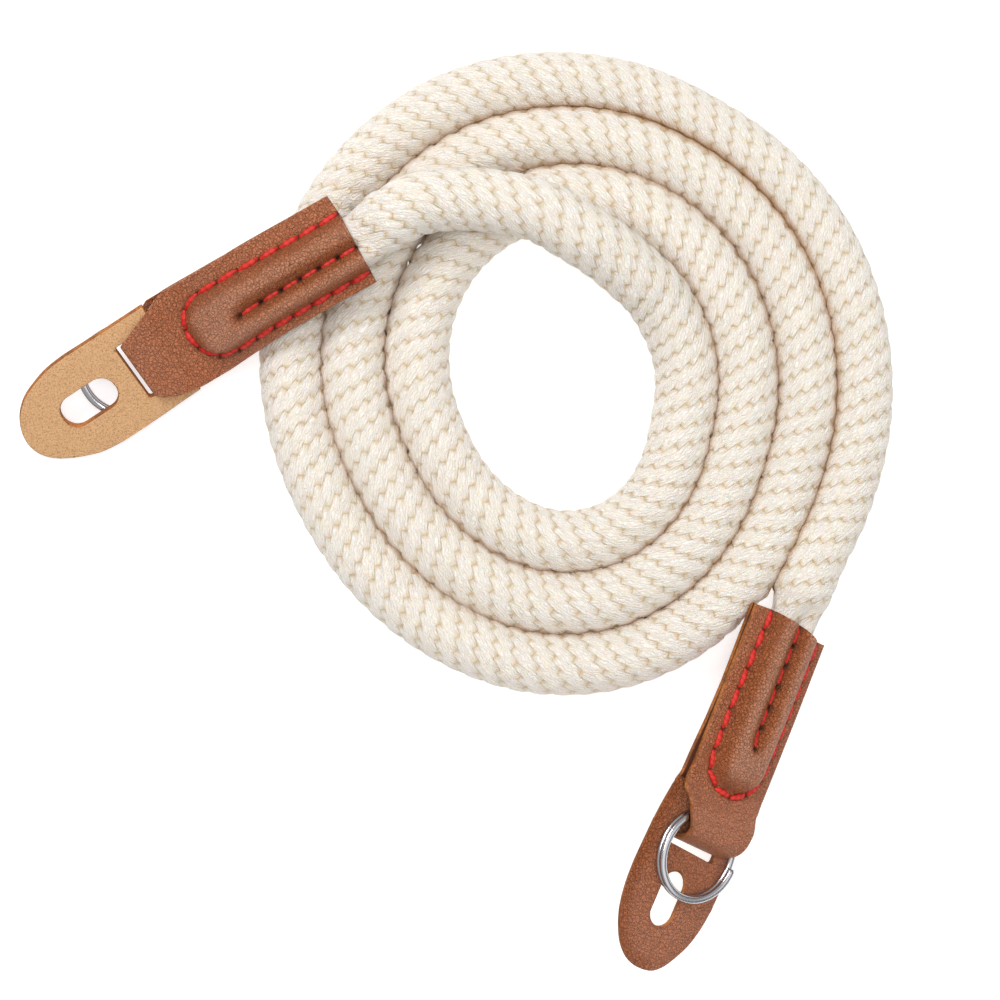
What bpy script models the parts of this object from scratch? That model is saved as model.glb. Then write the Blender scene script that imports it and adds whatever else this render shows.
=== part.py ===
"""Camera shoulder strap, lying in a flat coil.

A braided cotton rope carries a folded leather end at each of its ends. Each leather end is
one strip, folded in a loop round the bar of a leather protector tab and a split ring. End A
lies on top of the coil with its tab up, end B lies beside the coil with its ring up.

Lengths are in metres, angles in degrees, +Z is up and the floor is at height 0.
"""

import math

import bmesh
import bpy
from mathutils import Vector

# Gaps
SEAT_GAP = 0.0003              # between pieces that rest on or in each other
TURN_GAP = 0.0007              # between neighbouring turns of the coil, along a radius
SLIT_PLAY = 0.0004             # between the leather neck and each end of the tab's slit

# Rope
ROPE_DIAMETER = 0.0119
ROPE_SIDES_RESOLUTION = 4      # bevel resolution of the tube: 12 sides
COIL_CENTRE = (0.02526, 0.02897)
COIL_RADIUS = 0.0610           # centre line of the outer turn, straight right of the centre
COIL_FIRST_BEARING = -27.0
COIL_LAST_BEARING = 1071.0
COIL_STEP = 18.0
ROPE_LEAD = 0.0050             # straight rope before each flattened end

# The rope's ends, pressed flat inside the leather
ROPE_END_WIDTH = 0.0130
ROPE_END_THICKNESS = 0.0066
ROPE_END_VALLEY = 0.72         # share of the thickness left along the middle seam
ROPE_END_TAPER = 0.0090        # length over which the round rope turns flat

# Leather strip
LEATHER_THICKNESS = 0.0014
STRIP_WIDTH = 0.0200
SEAM_MARGIN = 0.0026           # flat leather outside the seam, on each side
POCKET_LENGTH = 0.0385         # from the mouth to the bottom of the U seam
NECK_WIDTH = 0.0118
TURN_REACH = 0.0040            # length before and after its turn over which an end bends

# Protector tab
TAB_WIDTH = 0.0226
TAB_THICKNESS = 0.0018
TAB_BAR = 0.0075               # leather between the slit and the tab's upper edge
TAB_TONGUE = 0.0272            # from the leather's fold to the tab's tip
SLIT_OPENING = 0.0013          # open part of the slit beyond the fold
SLIT_CORNER = 0.0006
HOLE_LENGTH = 0.0125
HOLE_WIDTH = 0.0056
HOLE_CORNER = 0.0024
HOLE_FROM_FOLD = 0.0120        # from the fold to the centre of the oblong hole

# Split ring
RING_DIAMETER = 0.0200
RING_WIRE_WIDTH = 0.0015       # across, along a radius
RING_WIRE_HEIGHT = 0.0011
RING_WIRE_GAP = 0.0001         # between the ring's two turns
RING_SETBACK = 0.0020          # from the tab's upper edge to the ring's near side
RING_STEP_BEARING = 300.0      # where the wire steps from one turn to the other

# The two ends. Each lies along a heading from its mouth, given from the coil's centre in
# shares of COIL_RADIUS. flat is the flat leather between pocket and loop, as a share of
# STRIP_WIDTH. Each is rolled about its own length and turns a little before its loop. side is
# 1 with the ring up, -1 with the tab up.
ENDS = {
    "a": dict(mouth=(-0.756, 0.430), heading=208.3, flat=0.195,
              mouth_roll=6.0, neck_roll=16.0, neck_turn=3.5, side=-1),
    "b": dict(mouth=(0.736, -0.877), heading=248.0, flat=0.045,
              mouth_roll=25.0, neck_roll=39.0, neck_turn=-2.0, side=1),
}

# Middle line of each end: share of the way from the mouth to the loop, rope turns beneath,
# lift as a share of STRIP_WIDTH, slope
SPINES = {
    "a": ((0.00, 1, 0.075, -0.01), (0.47, 1, 0.025, -0.13), (1.00, 0, 0.130, -0.14)),
    "b": ((0.00, 0, 0.100, 0.03), (0.50, 0, 0.180, 0.06), (1.00, 0, 0.250, 0.14)),
}

# Radius of the outer turn every 30 degrees from -30, as shares of COIL_RADIUS
TURN_SHAPE = (1.030, 1.000, 0.995, 1.003, 1.015, 1.018, 0.998, 0.968, 0.954, 0.985, 0.999, 0.930)
TURN_SHAPE_STEP = 30.0

# The rope's way over the coil to end A: x and y from the coil's centre in shares of
# COIL_RADIUS, and height above the floor turns as a share of one rope resting on another
CROSSING = (
    (0.375, 0.059, 0.03),
    (0.330, 0.190, 0.14),
    (0.266, 0.284, 0.32),
    (0.200, 0.344, 0.50),
    (0.107, 0.405, 0.70),
    (-0.005, 0.469, 0.88),
    (-0.120, 0.526, 0.99),
    (-0.256, 0.557, 1.00),
    (-0.390, 0.567, 1.01),
)

# The strip's loop: distance before the fold as a share of its length, half width as a share of
# the way from the neck to the full strip, top and bottom as shares of the loop's half height
LOOP_ROWS = (
    (1.00, 1.00, 0.36, 0.46),
    (0.91, 0.93, 0.55, 0.92),
    (0.79, 0.84, 0.80, 1.00),
    (0.68, 0.72, 1.00, 1.00),
    (0.47, 0.45, 1.00, 1.00),
    (0.25, 0.15, 1.00, 1.00),
    (0.13, 0.00, 0.72, 1.00),
    (0.05, 0.00, 0.30, 0.93),
    (0.00, -0.03, -0.08, 0.60),
)

# Rope end before the mouth: share of the taper, flatness from round to flat
ROPE_END_ROWS = ((1.00, 0.0), (0.67, 0.25), (0.33, 0.70), (0.00, 1.0))

# The pocket round the rope end: share of its length, share of its full width and height
POCKET_ROWS = (
    (0.000, 1.00),
    (0.140, 1.00),
    (0.330, 1.00),
    (0.600, 1.00),
    (0.860, 1.00),
    (0.920, 0.93),
    (0.960, 0.78),
    (0.985, 0.50),
    (1.000, 0.12),
)
PILLOW_SHARES = (-1.0, -0.94, -0.82, -0.66, -0.5, -0.25, 0.0, 0.25, 0.5, 0.66, 0.82, 0.94, 1.0)
LEAST_WIDTH = 0.3              # of the pocket's full width, at its rounded end

# Levels through the loop at the fold, upwards from the tab's middle plane
RING_STACK = 2 * RING_WIRE_HEIGHT + RING_WIRE_GAP
RING_LEVEL = TAB_THICKNESS / 2 + SEAT_GAP + RING_STACK / 2
LOOP_TOP = RING_LEVEL + RING_STACK / 2 + SEAT_GAP
LOOP_BOTTOM = -TAB_THICKNESS / 2 - SEAT_GAP
LOOP_HALF = (LOOP_TOP - LOOP_BOTTOM) / 2 + LEATHER_THICKNESS
TAB_LEVEL = -(LOOP_TOP + LOOP_BOTTOM) / 2

# Places along the loop, from the fold
BAR_LOWER = -LEATHER_THICKNESS - SEAT_GAP
BAR_UPPER = BAR_LOWER - TAB_BAR
RING_NEAR = BAR_UPPER + RING_SETBACK
LOOP_LENGTH = LEATHER_THICKNESS - BAR_UPPER
PILLOW_HALF = ROPE_END_THICKNESS / 2 + SEAT_GAP + LEATHER_THICKNESS

SURFACE_COLOURS = {
    "cotton": (0.86, 0.80, 0.70, 1.0),
    "leather": (0.30, 0.13, 0.06, 1.0),
    "steel": (0.70, 0.70, 0.72, 1.0),
}


# Basic helpers

def clear_scene():
    for found in list(bpy.data.objects):
        bpy.data.objects.remove(found, do_unlink=True)


def make_material(name, colour, roughness, metallic=0.0):
    material = bpy.data.materials.new(name)
    material.use_nodes = True
    surface = material.node_tree.nodes["Principled BSDF"]
    surface.inputs["Base Color"].default_value = colour
    surface.inputs["Roughness"].default_value = roughness
    surface.inputs["Metallic"].default_value = metallic
    return material


def add_mesh(name, bm, material):
    """Turn a closed bmesh into an object with its own material, shaded smooth."""
    bmesh.ops.recalc_face_normals(bm, faces=bm.faces)
    mesh = bpy.data.meshes.new(name)
    bm.to_mesh(mesh)
    bm.free()
    mesh.materials.append(material)
    mesh.shade_smooth()
    mesh.set_sharp_from_angle(angle=math.radians(35))
    piece = bpy.data.objects.new(name, mesh)
    bpy.context.scene.collection.objects.link(piece)
    return piece


def loft(bm, sections):
    """Join equal closed sections, given as lists of points, and cap both ends."""
    rings = [[bm.verts.new(point) for point in section] for section in sections]
    for ring, following in zip(rings, rings[1:]):
        for i in range(len(ring)):
            j = (i + 1) % len(ring)
            bm.faces.new((ring[i], ring[j], following[j], following[i]))
    bm.faces.new(reversed(rings[0]))
    bm.faces.new(rings[-1])


def cut(piece, cutter):
    """Subtract a hidden cutter from a piece."""
    cutter.hide_render = True
    cutter.display_type = "WIRE"
    modifier = piece.modifiers.new("cut_" + cutter.name, "BOOLEAN")
    modifier.operation = "DIFFERENCE"
    modifier.solver = "EXACT"
    modifier.object = cutter


def catmull_rom(before, start, end, after, share):
    """Point on the smooth curve between start and end, for numbers or vectors."""
    return 0.5 * (
        2 * start
        + (end - before) * share
        + (2 * before - 5 * start + 4 * end - after) * share ** 2
        + (3 * start - before - 3 * end + after) * share ** 3
    )


# Where the two ends lie

def loop_start(letter):
    """Distance from an end's mouth to its loop."""
    return POCKET_LENGTH + ENDS[letter]["flat"] * STRIP_WIDTH


def fold_place(letter):
    """Distance from an end's mouth to its fold."""
    return loop_start(letter) + LOOP_LENGTH


def spine_knot(row, span):
    """Distance, height and slope of one row of an end's middle line."""
    share, turns, lift, slope = row
    height = turns * (ROPE_DIAMETER + SEAT_GAP) + PILLOW_HALF + lift * STRIP_WIDTH
    return share * span, height, slope


def spine_height(letter, along):
    """Height and slope of an end's middle line at a distance from its mouth."""
    span = loop_start(letter)
    knots = [spine_knot(row, span) for row in SPINES[letter]]
    for near, height, slope in (knots[0], knots[-1]):
        if (along - near) * (1 if near else -1) >= 0:
            return height + (along - near) * slope, slope
    before, after = next(pair for pair in zip(knots, knots[1:]) if along <= pair[1][0])
    reach = after[0] - before[0]
    t = (along - before[0]) / reach
    lead, trail = before[2] * reach, after[2] * reach
    height = ((2 * t**3 - 3 * t**2 + 1) * before[1] + (t**3 - 2 * t**2 + t) * lead
              + (3 * t**2 - 2 * t**3) * after[1] + (t**3 - t**2) * trail)
    slope = ((6 * t**2 - 6 * t) * before[1] + (3 * t**2 - 4 * t + 1) * lead
             + (6 * t - 6 * t**2) * after[1] + (3 * t**2 - 2 * t) * trail) / reach
    return height, slope


def end_axes(letter, along):
    """Point on the middle line with the directions along, across and up."""
    end = ENDS[letter]
    span = loop_start(letter)
    knee = span - TURN_REACH
    height, slope = spine_height(letter, along)
    first = math.radians(end["heading"])
    last = first + math.radians(end["neck_turn"])
    before, beyond = min(along, knee), max(along - knee, 0.0)
    origin = Vector((
        COIL_CENTRE[0] + end["mouth"][0] * COIL_RADIUS + before * math.cos(first) + beyond * math.cos(last),
        COIL_CENTRE[1] + end["mouth"][1] * COIL_RADIUS + before * math.sin(first) + beyond * math.sin(last),
        height,
    ))
    turned = min(max((along - knee + TURN_REACH) / (2 * TURN_REACH), 0.0), 1.0)
    heading = first + turned * (last - first)
    forward = Vector((math.cos(heading), math.sin(heading), slope)).normalized()
    side = Vector((-math.sin(heading), math.cos(heading), 0.0))
    upright = forward.cross(side)
    rolled = min(max(along / span, 0.0), 1.0)
    roll = math.radians(end["mouth_roll"] + rolled * (end["neck_roll"] - end["mouth_roll"]))
    across = (side * math.cos(roll) - upright * math.sin(roll)) * end["side"]
    up = (side * math.sin(roll) + upright * math.cos(roll)) * end["side"]
    return origin, forward, across, up


def place(letter, along, across, up):
    """World point of a point given along, across and above an end's middle line."""
    origin, _, side_axis, up_axis = end_axes(letter, along)
    return origin + side_axis * across + up_axis * up


def place_rigid(letter, past_fold, across, up):
    """The same from the fold, in a frame that keeps a hard or flat piece straight."""
    origin, forward, side_axis, up_axis = end_axes(letter, fold_place(letter))
    return origin + forward * past_fold + side_axis * across + up_axis * up


# Rope

def coil_radius(bearing):
    """Radius of the coil's middle line, winding inwards with the bearing."""
    position = (bearing + TURN_SHAPE_STEP) / TURN_SHAPE_STEP
    first = math.floor(position)
    rows = len(TURN_SHAPE)
    near = [
        TURN_SHAPE[row % rows] * COIL_RADIUS - (row // rows) * (ROPE_DIAMETER + TURN_GAP)
        for row in range(first - 1, first + 3)
    ]
    return catmull_rom(*near, position - first)


def rope_route():
    """Points along the rope from end B, round the coil and over it to end A."""
    floor_height = ROPE_DIAMETER / 2
    lift = ROPE_DIAMETER + SEAT_GAP
    entry = -(ROPE_END_TAPER + SEAT_GAP)
    route = [place("b", entry, 0, 0), place("b", entry - ROPE_LEAD, 0, 0)]
    bearing = COIL_FIRST_BEARING
    while bearing <= COIL_LAST_BEARING:
        angle = math.radians(bearing)
        radius = coil_radius(bearing)
        route.append(Vector((
            COIL_CENTRE[0] + radius * math.cos(angle),
            COIL_CENTRE[1] + radius * math.sin(angle),
            floor_height,
        )))
        bearing += COIL_STEP
    for x, y, share in CROSSING:
        route.append(Vector((
            COIL_CENTRE[0] + x * COIL_RADIUS,
            COIL_CENTRE[1] + y * COIL_RADIUS,
            floor_height + share * lift,
        )))
    route.append(place("a", entry - ROPE_LEAD, 0, 0))
    route.append(place("a", entry, 0, 0))
    return route


def make_rope(material):
    curve = bpy.data.curves.new("rope", "CURVE")
    curve.dimensions = "3D"
    curve.bevel_depth = ROPE_DIAMETER / 2
    curve.bevel_resolution = ROPE_SIDES_RESOLUTION
    curve.use_fill_caps = True
    route = rope_route()
    spline = curve.splines.new("POLY")
    spline.points.add(len(route) - 1)
    for point, position in zip(spline.points, route):
        point.co = (*position, 1.0)
    curve.materials.append(material)
    rope = bpy.data.objects.new("rope", curve)
    bpy.context.scene.collection.objects.link(rope)
    return rope


# Rope ends and the leather over them

def lobe(share):
    """Height of the two-lobed section, 0 at its edge and 1 on each lobe."""
    if share > 0.5:
        return math.sqrt(max(0.0, 1 - (2 * share - 1) ** 2))
    return ROPE_END_VALLEY + (1 - ROPE_END_VALLEY) * math.sin(math.pi * share)


def pillow_columns(size, half_width):
    """Across and share of the width of points over the two lobes."""
    reach = half_width * max(size, LEAST_WIDTH)
    return [(share * reach, abs(share)) for share in PILLOW_SHARES]


def closed_section(letter, along, top):
    """Section from its top points, with a mirrored bottom."""
    section = [place(letter, along, across, up) for across, up in top]
    return section + [place(letter, along, across, -up) for across, up in reversed(top) if up > 0]


def rope_end_section(letter, along, flatness, size):
    """Closed section of a rope end, from round (0) to flat with two lobes (1)."""
    half_width = (ROPE_DIAMETER + flatness * (ROPE_END_WIDTH - ROPE_DIAMETER)) / 2
    half_height = (ROPE_DIAMETER + flatness * (ROPE_END_THICKNESS - ROPE_DIAMETER)) / 2 * size
    top = []
    for across, share in pillow_columns(size, half_width):
        height = (1 - flatness) * math.sqrt(1 - share ** 2) + flatness * lobe(share)
        top.append((across, half_height * height))
    return closed_section(letter, along, top)


def make_rope_end(letter, material):
    tip = POCKET_LENGTH - LEATHER_THICKNESS - 2 * SEAT_GAP
    rows = [(-share * ROPE_END_TAPER, flatness, 1.0) for share, flatness in ROPE_END_ROWS]
    rows += [(share * tip, 1.0, size) for share, size in POCKET_ROWS[1:]]
    bm = bmesh.new()
    loft(bm, [rope_end_section(letter, *row) for row in rows])
    return add_mesh("rope_end_" + letter, bm, material)


def leather_section(letter, along, size):
    """Leather over the rope end, with the flat margins outside its seam."""
    half_width = STRIP_WIDTH / 2 - SEAM_MARGIN
    flat = LEATHER_THICKNESS
    swell = ROPE_END_THICKNESS / 2 + SEAT_GAP
    edge = STRIP_WIDTH / 2
    between = (edge + half_width) / 2
    top = [(across, flat + swell * size * lobe(share)) for across, share in pillow_columns(size, half_width)]
    return closed_section(letter, along, [(-edge, flat), (-between, flat)] + top + [(between, flat), (edge, flat)])


def hollow_section(letter, along, size):
    """Hollow round the rope end."""
    half_width = ROPE_END_WIDTH / 2 + SEAT_GAP
    swell = ROPE_END_THICKNESS / 2 + SEAT_GAP
    top = [(across, swell * size * lobe(share)) for across, share in pillow_columns(size, half_width)]
    return closed_section(letter, along, top)


def loop_section(letter, before_fold, width_share, top_share, bottom_share):
    """Square section of the strip's loop."""
    along = fold_place(letter) - before_fold * LOOP_LENGTH
    half_width = (NECK_WIDTH + width_share * (STRIP_WIDTH - NECK_WIDTH)) / 2
    columns = [-1.0, -0.97] + [0.94 * share for share in PILLOW_SHARES] + [0.97, 1.0]
    top = [place(letter, along, x * half_width, top_share * LOOP_HALF) for x in columns]
    bottom = [place(letter, along, x * half_width, -bottom_share * LOOP_HALF) for x in reversed(columns)]
    return top + bottom


def loop_profile(letter):
    """Outline of the loop's hollow, along and up, in the order round it."""
    fold = fold_place(letter)
    inside = fold - LEATHER_THICKNESS
    bar_start = fold + BAR_UPPER - SEAT_GAP
    ring_start = fold + RING_NEAR - SEAT_GAP
    low, high = TAB_LEVEL + LOOP_BOTTOM, TAB_LEVEL + LOOP_TOP
    bar_top = TAB_LEVEL + TAB_THICKNESS / 2 + SEAT_GAP
    return [
        (bar_start - LEATHER_THICKNESS / 2, TAB_LEVEL + TAB_THICKNESS / 2),
        (bar_start, low),
        (inside, low),
        (inside, bar_top),
        (inside - SEAT_GAP, high * 0.45),
        (inside - LEATHER_THICKNESS * 0.7, high),
        (ring_start, high),
        (ring_start - LEATHER_THICKNESS * 0.7, high * 0.60),
        (bar_start, bar_top + SEAT_GAP),
    ]


def make_leather_end(letter, material):
    """Folded strip: a pocket round the rope end, open at its mouth, and a loop at the fold."""
    sections = [leather_section(letter, share * POCKET_LENGTH, size) for share, size in POCKET_ROWS]
    sections += [loop_section(letter, *row) for row in LOOP_ROWS]
    bm = bmesh.new()
    loft(bm, sections)
    leather = add_mesh("leather_end_" + letter, bm, material)

    hollow_length = POCKET_LENGTH - LEATHER_THICKNESS
    hollow = bmesh.new()
    loft(hollow, [hollow_section(letter, -LEATHER_THICKNESS, 1.0)] + [
        hollow_section(letter, share * hollow_length, size) for share, size in POCKET_ROWS[1:]
    ])
    cut(leather, add_mesh("pocket_hollow_" + letter, hollow, material))

    loop = bmesh.new()
    profile = loop_profile(letter)
    loft(loop, [
        [place(letter, along, across, up) for along, up in profile]
        for across in (-STRIP_WIDTH, 0.0, STRIP_WIDTH)
    ])
    cut(leather, add_mesh("loop_hollow_" + letter, loop, material))
    return leather


# Tab

def arc(centre, radius, start, finish, steps):
    """Points on an arc in the tab's plane, angles in degrees from straight along."""
    points = []
    for i in range(steps + 1):
        angle = math.radians(start + (finish - start) * i / steps)
        points.append((centre[0] + radius * math.cos(angle), centre[1] + radius * math.sin(angle)))
    return points


def rounded_slot(middle, length, width, corner):
    """Outline of a slot, its length given along the tab and its width across."""
    far, near = middle + length / 2 - corner, middle - length / 2 + corner
    side = width / 2 - corner
    return (arc((far, side), corner, 0, 90, 4) + arc((near, side), corner, 90, 180, 4)
            + arc((near, -side), corner, 180, 270, 4) + arc((far, -side), corner, 270, 360, 4))


def make_tab(letter, material):
    """Flat tongue with a slit for the leather's fold and an oblong hole for the lug."""
    slit_width = SLIT_OPENING - BAR_LOWER
    slit_length = NECK_WIDTH + 2 * SLIT_PLAY
    half = TAB_WIDTH / 2
    outline = arc((TAB_TONGUE - half, 0.0), half, -90, 90, 18) + [(BAR_UPPER, half), (BAR_UPPER, -half)]
    slit = rounded_slot(BAR_LOWER + slit_width / 2, slit_width, slit_length, SLIT_CORNER)
    hole = rounded_slot(HOLE_FROM_FOLD, HOLE_LENGTH, HOLE_WIDTH, HOLE_CORNER)
    bm = bmesh.new()
    edges = []
    for loop in (outline, slit, hole):
        corners = [bm.verts.new((x, y, -TAB_THICKNESS / 2)) for x, y in loop]
        edges += [bm.edges.new((corners[i - 1], corners[i])) for i in range(len(corners))]
    bmesh.ops.triangle_fill(bm, use_beauty=True, edges=edges)
    extruded = bmesh.ops.extrude_face_region(bm, geom=bm.faces[:], use_keep_orig=True)
    for item in extruded["geom"]:
        if isinstance(item, bmesh.types.BMVert):
            item.co.z += TAB_THICKNESS
    for vert in bm.verts:
        vert.co = place_rigid(letter, vert.co.x, vert.co.y, vert.co.z + TAB_LEVEL)
    return add_mesh("tab_" + letter, bm, material)


# Split ring

def ring_wire_level(turn_angle):
    """Height of the wire's middle: one turn low, a short step, one turn high."""
    low = -(RING_WIRE_HEIGHT + RING_WIRE_GAP) / 2
    step_start, step_end = 335.0, 385.0
    t = min(max((turn_angle - step_start) / (step_end - step_start), 0.0), 1.0)
    return low + (RING_WIRE_HEIGHT + RING_WIRE_GAP) * t * t * (3 - 2 * t)


def make_ring(letter, material):
    """Flat-wire ring of two turns, with its two cut ends beside the step."""
    middle = (RING_DIAMETER - RING_WIRE_WIDTH) / 2
    first, last, count = 28.0, 692.0, 66
    chamfer = 0.35
    across, up = RING_WIRE_WIDTH / 2, RING_WIRE_HEIGHT / 2
    wire = [(across, up * chamfer), (across * 0.6, up), (-across * 0.6, up), (-across, up * chamfer),
            (-across, -up * chamfer), (-across * 0.6, -up), (across * 0.6, -up), (across, -up * chamfer)]
    centre = RING_NEAR + RING_DIAMETER / 2
    sections = []
    for i in range(count + 1):
        turn_angle = first + (last - first) * i / count
        bearing = math.radians(turn_angle + RING_STEP_BEARING)
        level = ring_wire_level(turn_angle)
        sections.append([
            place_rigid(letter, centre + (middle + x) * math.cos(bearing), (middle + x) * math.sin(bearing),
                        TAB_LEVEL + RING_LEVEL + level + z)
            for x, z in wire
        ])
    bm = bmesh.new()
    loft(bm, sections)
    return add_mesh("ring_" + letter, bm, material)


def main():
    clear_scene()
    make_rope(make_material("rope_cotton", SURFACE_COLOURS["cotton"], 0.90))
    for letter in ENDS:
        make_rope_end(letter, make_material("rope_end_cotton_" + letter, SURFACE_COLOURS["cotton"], 0.90))
        make_leather_end(letter, make_material("end_leather_" + letter, SURFACE_COLOURS["leather"], 0.55))
        make_tab(letter, make_material("tab_leather_" + letter, SURFACE_COLOURS["leather"], 0.60))
        make_ring(letter, make_material("ring_steel_" + letter, SURFACE_COLOURS["steel"], 0.25, 1.0))


main()
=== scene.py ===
"""Camera shoulder strap, lying in a flat coil: braided cotton rope with folded leather ends,
split rings and protector tabs, dressed round its CAD frame."""

import math

import bmesh
import bpy
import numpy as np
from mathutils import Matrix, Vector


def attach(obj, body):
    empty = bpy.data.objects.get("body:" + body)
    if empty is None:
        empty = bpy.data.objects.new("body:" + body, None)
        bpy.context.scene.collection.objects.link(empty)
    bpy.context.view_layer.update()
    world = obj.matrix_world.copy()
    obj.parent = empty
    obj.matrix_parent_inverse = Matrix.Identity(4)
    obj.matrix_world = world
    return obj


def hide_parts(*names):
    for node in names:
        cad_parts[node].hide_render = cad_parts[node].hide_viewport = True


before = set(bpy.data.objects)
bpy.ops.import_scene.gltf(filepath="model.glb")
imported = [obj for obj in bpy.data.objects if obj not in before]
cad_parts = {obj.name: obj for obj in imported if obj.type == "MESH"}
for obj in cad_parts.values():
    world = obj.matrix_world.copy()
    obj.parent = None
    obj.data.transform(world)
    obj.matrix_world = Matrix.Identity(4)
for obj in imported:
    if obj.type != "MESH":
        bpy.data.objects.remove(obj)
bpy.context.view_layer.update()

bl_info = {
    "name": "Coiled camera strap",
    "version": (1, 0, 0),
    "blender": (4, 5, 0),
    "location": "3D View > Sidebar > Strap",
    "description": "Builds a coiled rope camera strap with leather ends",
    "category": "Add Mesh",
}

MM = 0.001
TURN = 2 * math.pi

# The rope's route and the two ends, as in the part's source, apart from three things: end B's roll at
# its neck and, by less than a millimetre, the way over the coil follow the photograph more closely,
# and the hidden rope stops sooner inside the leather
SEAT_GAP = 0.3 * MM            # between pieces that rest on or in each other
TURN_GAP = 0.7 * MM            # between neighbouring turns of the coil
COIL_CENTRE = (25.26 * MM, 28.97 * MM)
COIL_RADIUS = 61.0 * MM        # of the outer turn's middle line, straight right of the centre
COIL_FIRST_BEARING = -27.0
COIL_LAST_BEARING = 1071.0
COIL_STEP = 18.0
ROPE_LEAD = 5.0 * MM           # straight rope before each flattened end
ROPE_END_TAPER = 9.0 * MM      # over which the round rope turns flat
ROPE_END_THICKNESS = 6.6 * MM
ROPE_INSIDE = 28.0 * MM        # rope past the mouth of each leather end
POCKET_HEIGHT = ROPE_END_THICKNESS / 2 + SEAT_GAP
POCKET_LENGTH = 38.5 * MM
TURN_REACH = 4.0 * MM          # before and after its turn, over which an end bends
# Each end lies along a heading from its mouth, given from the coil's centre in shares of its radius.
# flat is the leather between pocket and loop as a share of the strip's width, the rolls and the turn
# are in degrees, and side is 1 with the ring up and -1 with the tab up
ENDS = {
    "a": dict(mouth=(-0.756, 0.430), heading=208.3, flat=0.195,
              mouth_roll=6.0, neck_roll=16.0, neck_turn=3.5, side=-1),
    "b": dict(mouth=(0.736, -0.877), heading=248.0, flat=0.045,
              mouth_roll=25.0, neck_roll=30.0, neck_turn=-2.0, side=1),
}
# Middle line of each end: share of the way from the mouth to the loop, turns of rope beneath, lift as
# a share of the strip's width, and slope
SPINES = {
    "a": ((0.00, 1, 0.075, -0.01), (0.47, 1, 0.025, -0.13), (1.00, 0, 0.130, -0.14)),
    "b": ((0.00, 0, 0.100, 0.03), (0.50, 0, 0.180, 0.06), (1.00, 0, 0.250, 0.14)),
}
# Radius of the outer turn at even steps in degrees from one before 0, as shares of the coil's radius
TURN_SHAPE = (1.030, 1.000, 0.995, 1.003, 1.015, 1.018, 0.998, 0.968, 0.954, 0.985, 0.999, 0.930)
TURN_SHAPE_STEP = 30.0
# The rope's way over the coil to end A: x and y from the coil's centre in shares of its radius, and
# height as a share of one turn resting on another
CROSSING = (
    (0.376, 0.059, 0.03), (0.324, 0.187, 0.14), (0.260, 0.278, 0.32), (0.194, 0.334, 0.50),
    (0.107, 0.400, 0.70), (-0.005, 0.465, 0.88), (-0.120, 0.526, 0.99), (-0.256, 0.557, 1.00),
    (-0.390, 0.567, 1.01),
)

# How the soft rope lies off the even coil: bearing and millimetres outwards
NUDGE = (
    (-30, 0.3), (0, -0.2), (30, -0.9), (60, -2.1), (90, -0.7), (120, 0.2), (150, 0.2), (180, 0.4),
    (210, 0.45), (240, 0.4), (270, 0.7), (300, 1.0), (330, 1.0), (360, 0.7), (390, 0.5), (420, 0.3),
    (450, 0.3), (480, 0.3), (510, 0.0), (570, 0.0), (630, 0.35), (660, 0.6), (690, 1.1), (720, 0.4),
    (750, 0.3), (780, 0.5), (810, 0.7), (840, -0.8), (870, -1.1), (900, -1.0), (930, -0.7), (960, -0.3),
    (990, 0.0), (1050, 0.7), (1080, 0.3),
)
# Share of its even width that the rope has, at bearings along the coil: narrow where it is pulled,
# wide where it lies loose on its neighbour
GIRTH = (
    (-30, 1.00), (0, 0.98), (30, 0.94), (60, 0.89), (90, 0.95), (120, 1.01), (150, 1.05), (180, 1.07),
    (210, 1.05), (240, 1.045), (270, 1.035), (300, 1.02), (330, 1.01), (360, 0.99), (420, 0.96),
    (450, 0.97), (480, 1.02), (510, 1.06), (540, 1.07), (570, 1.05), (630, 1.035), (690, 1.02), (780, 1.01),
    (810, 1.00), (840, 1.02), (870, 1.07), (900, 1.07), (930, 1.05), (990, 1.035), (1050, 1.05),
    (1110, 1.06), (1170, 1.03), (1230, 1.00),
)

# The photograph's view: straight down
VIEW_CENTRE = (9.66 * MM, 1.97 * MM)
VIEW_HEIGHT = 450.0 * MM
VIEW_WIDTH = 210.5 * MM        # across the picture at the height of the rope's middle


def sizes():
    return bpy.context.scene.strap_sizes


def finishes():
    return bpy.context.scene.strap_finishes


def hex_colour(text):
    """Linear colour with alpha from an sRGB hex value."""
    channels = [int(text[i:i + 2], 16) / 255 for i in (1, 3, 5)]
    linear = [c / 12.92 if c <= 0.04045 else ((c + 0.055) / 1.055) ** 2.4 for c in channels]
    return (*linear, 1.0)


# Shapes shared by the pieces

def smooth(low, high, value):
    """Smooth step from 0 at low to 1 at high, for numbers or arrays."""
    t = np.clip((value - low) / (high - low), 0.0, 1.0)
    return t * t * (3 - 2 * t)


def reaches(points):
    """Distance along a line of points to each of them."""
    return np.concatenate([[0], np.cumsum(np.linalg.norm(np.diff(points, axis=0), axis=1))])


def curve_through(points, knots, at):
    """Cubic curve through rows of numbers that lie at the knots, at other places between them."""
    slopes = np.gradient(points, knots, axis=0)
    span = np.clip(np.searchsorted(knots, at, side="right") - 1, 0, len(points) - 2)
    reach = (knots[span + 1] - knots[span])[:, None]
    t = (at[:, None] - knots[span][:, None]) / reach
    return ((2 * t**3 - 3 * t**2 + 1) * points[span] + (t**3 - 2 * t**2 + t) * reach * slopes[span]
            + (3 * t**2 - 2 * t**3) * points[span + 1] + (t**3 - t**2) * reach * slopes[span + 1])


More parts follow.
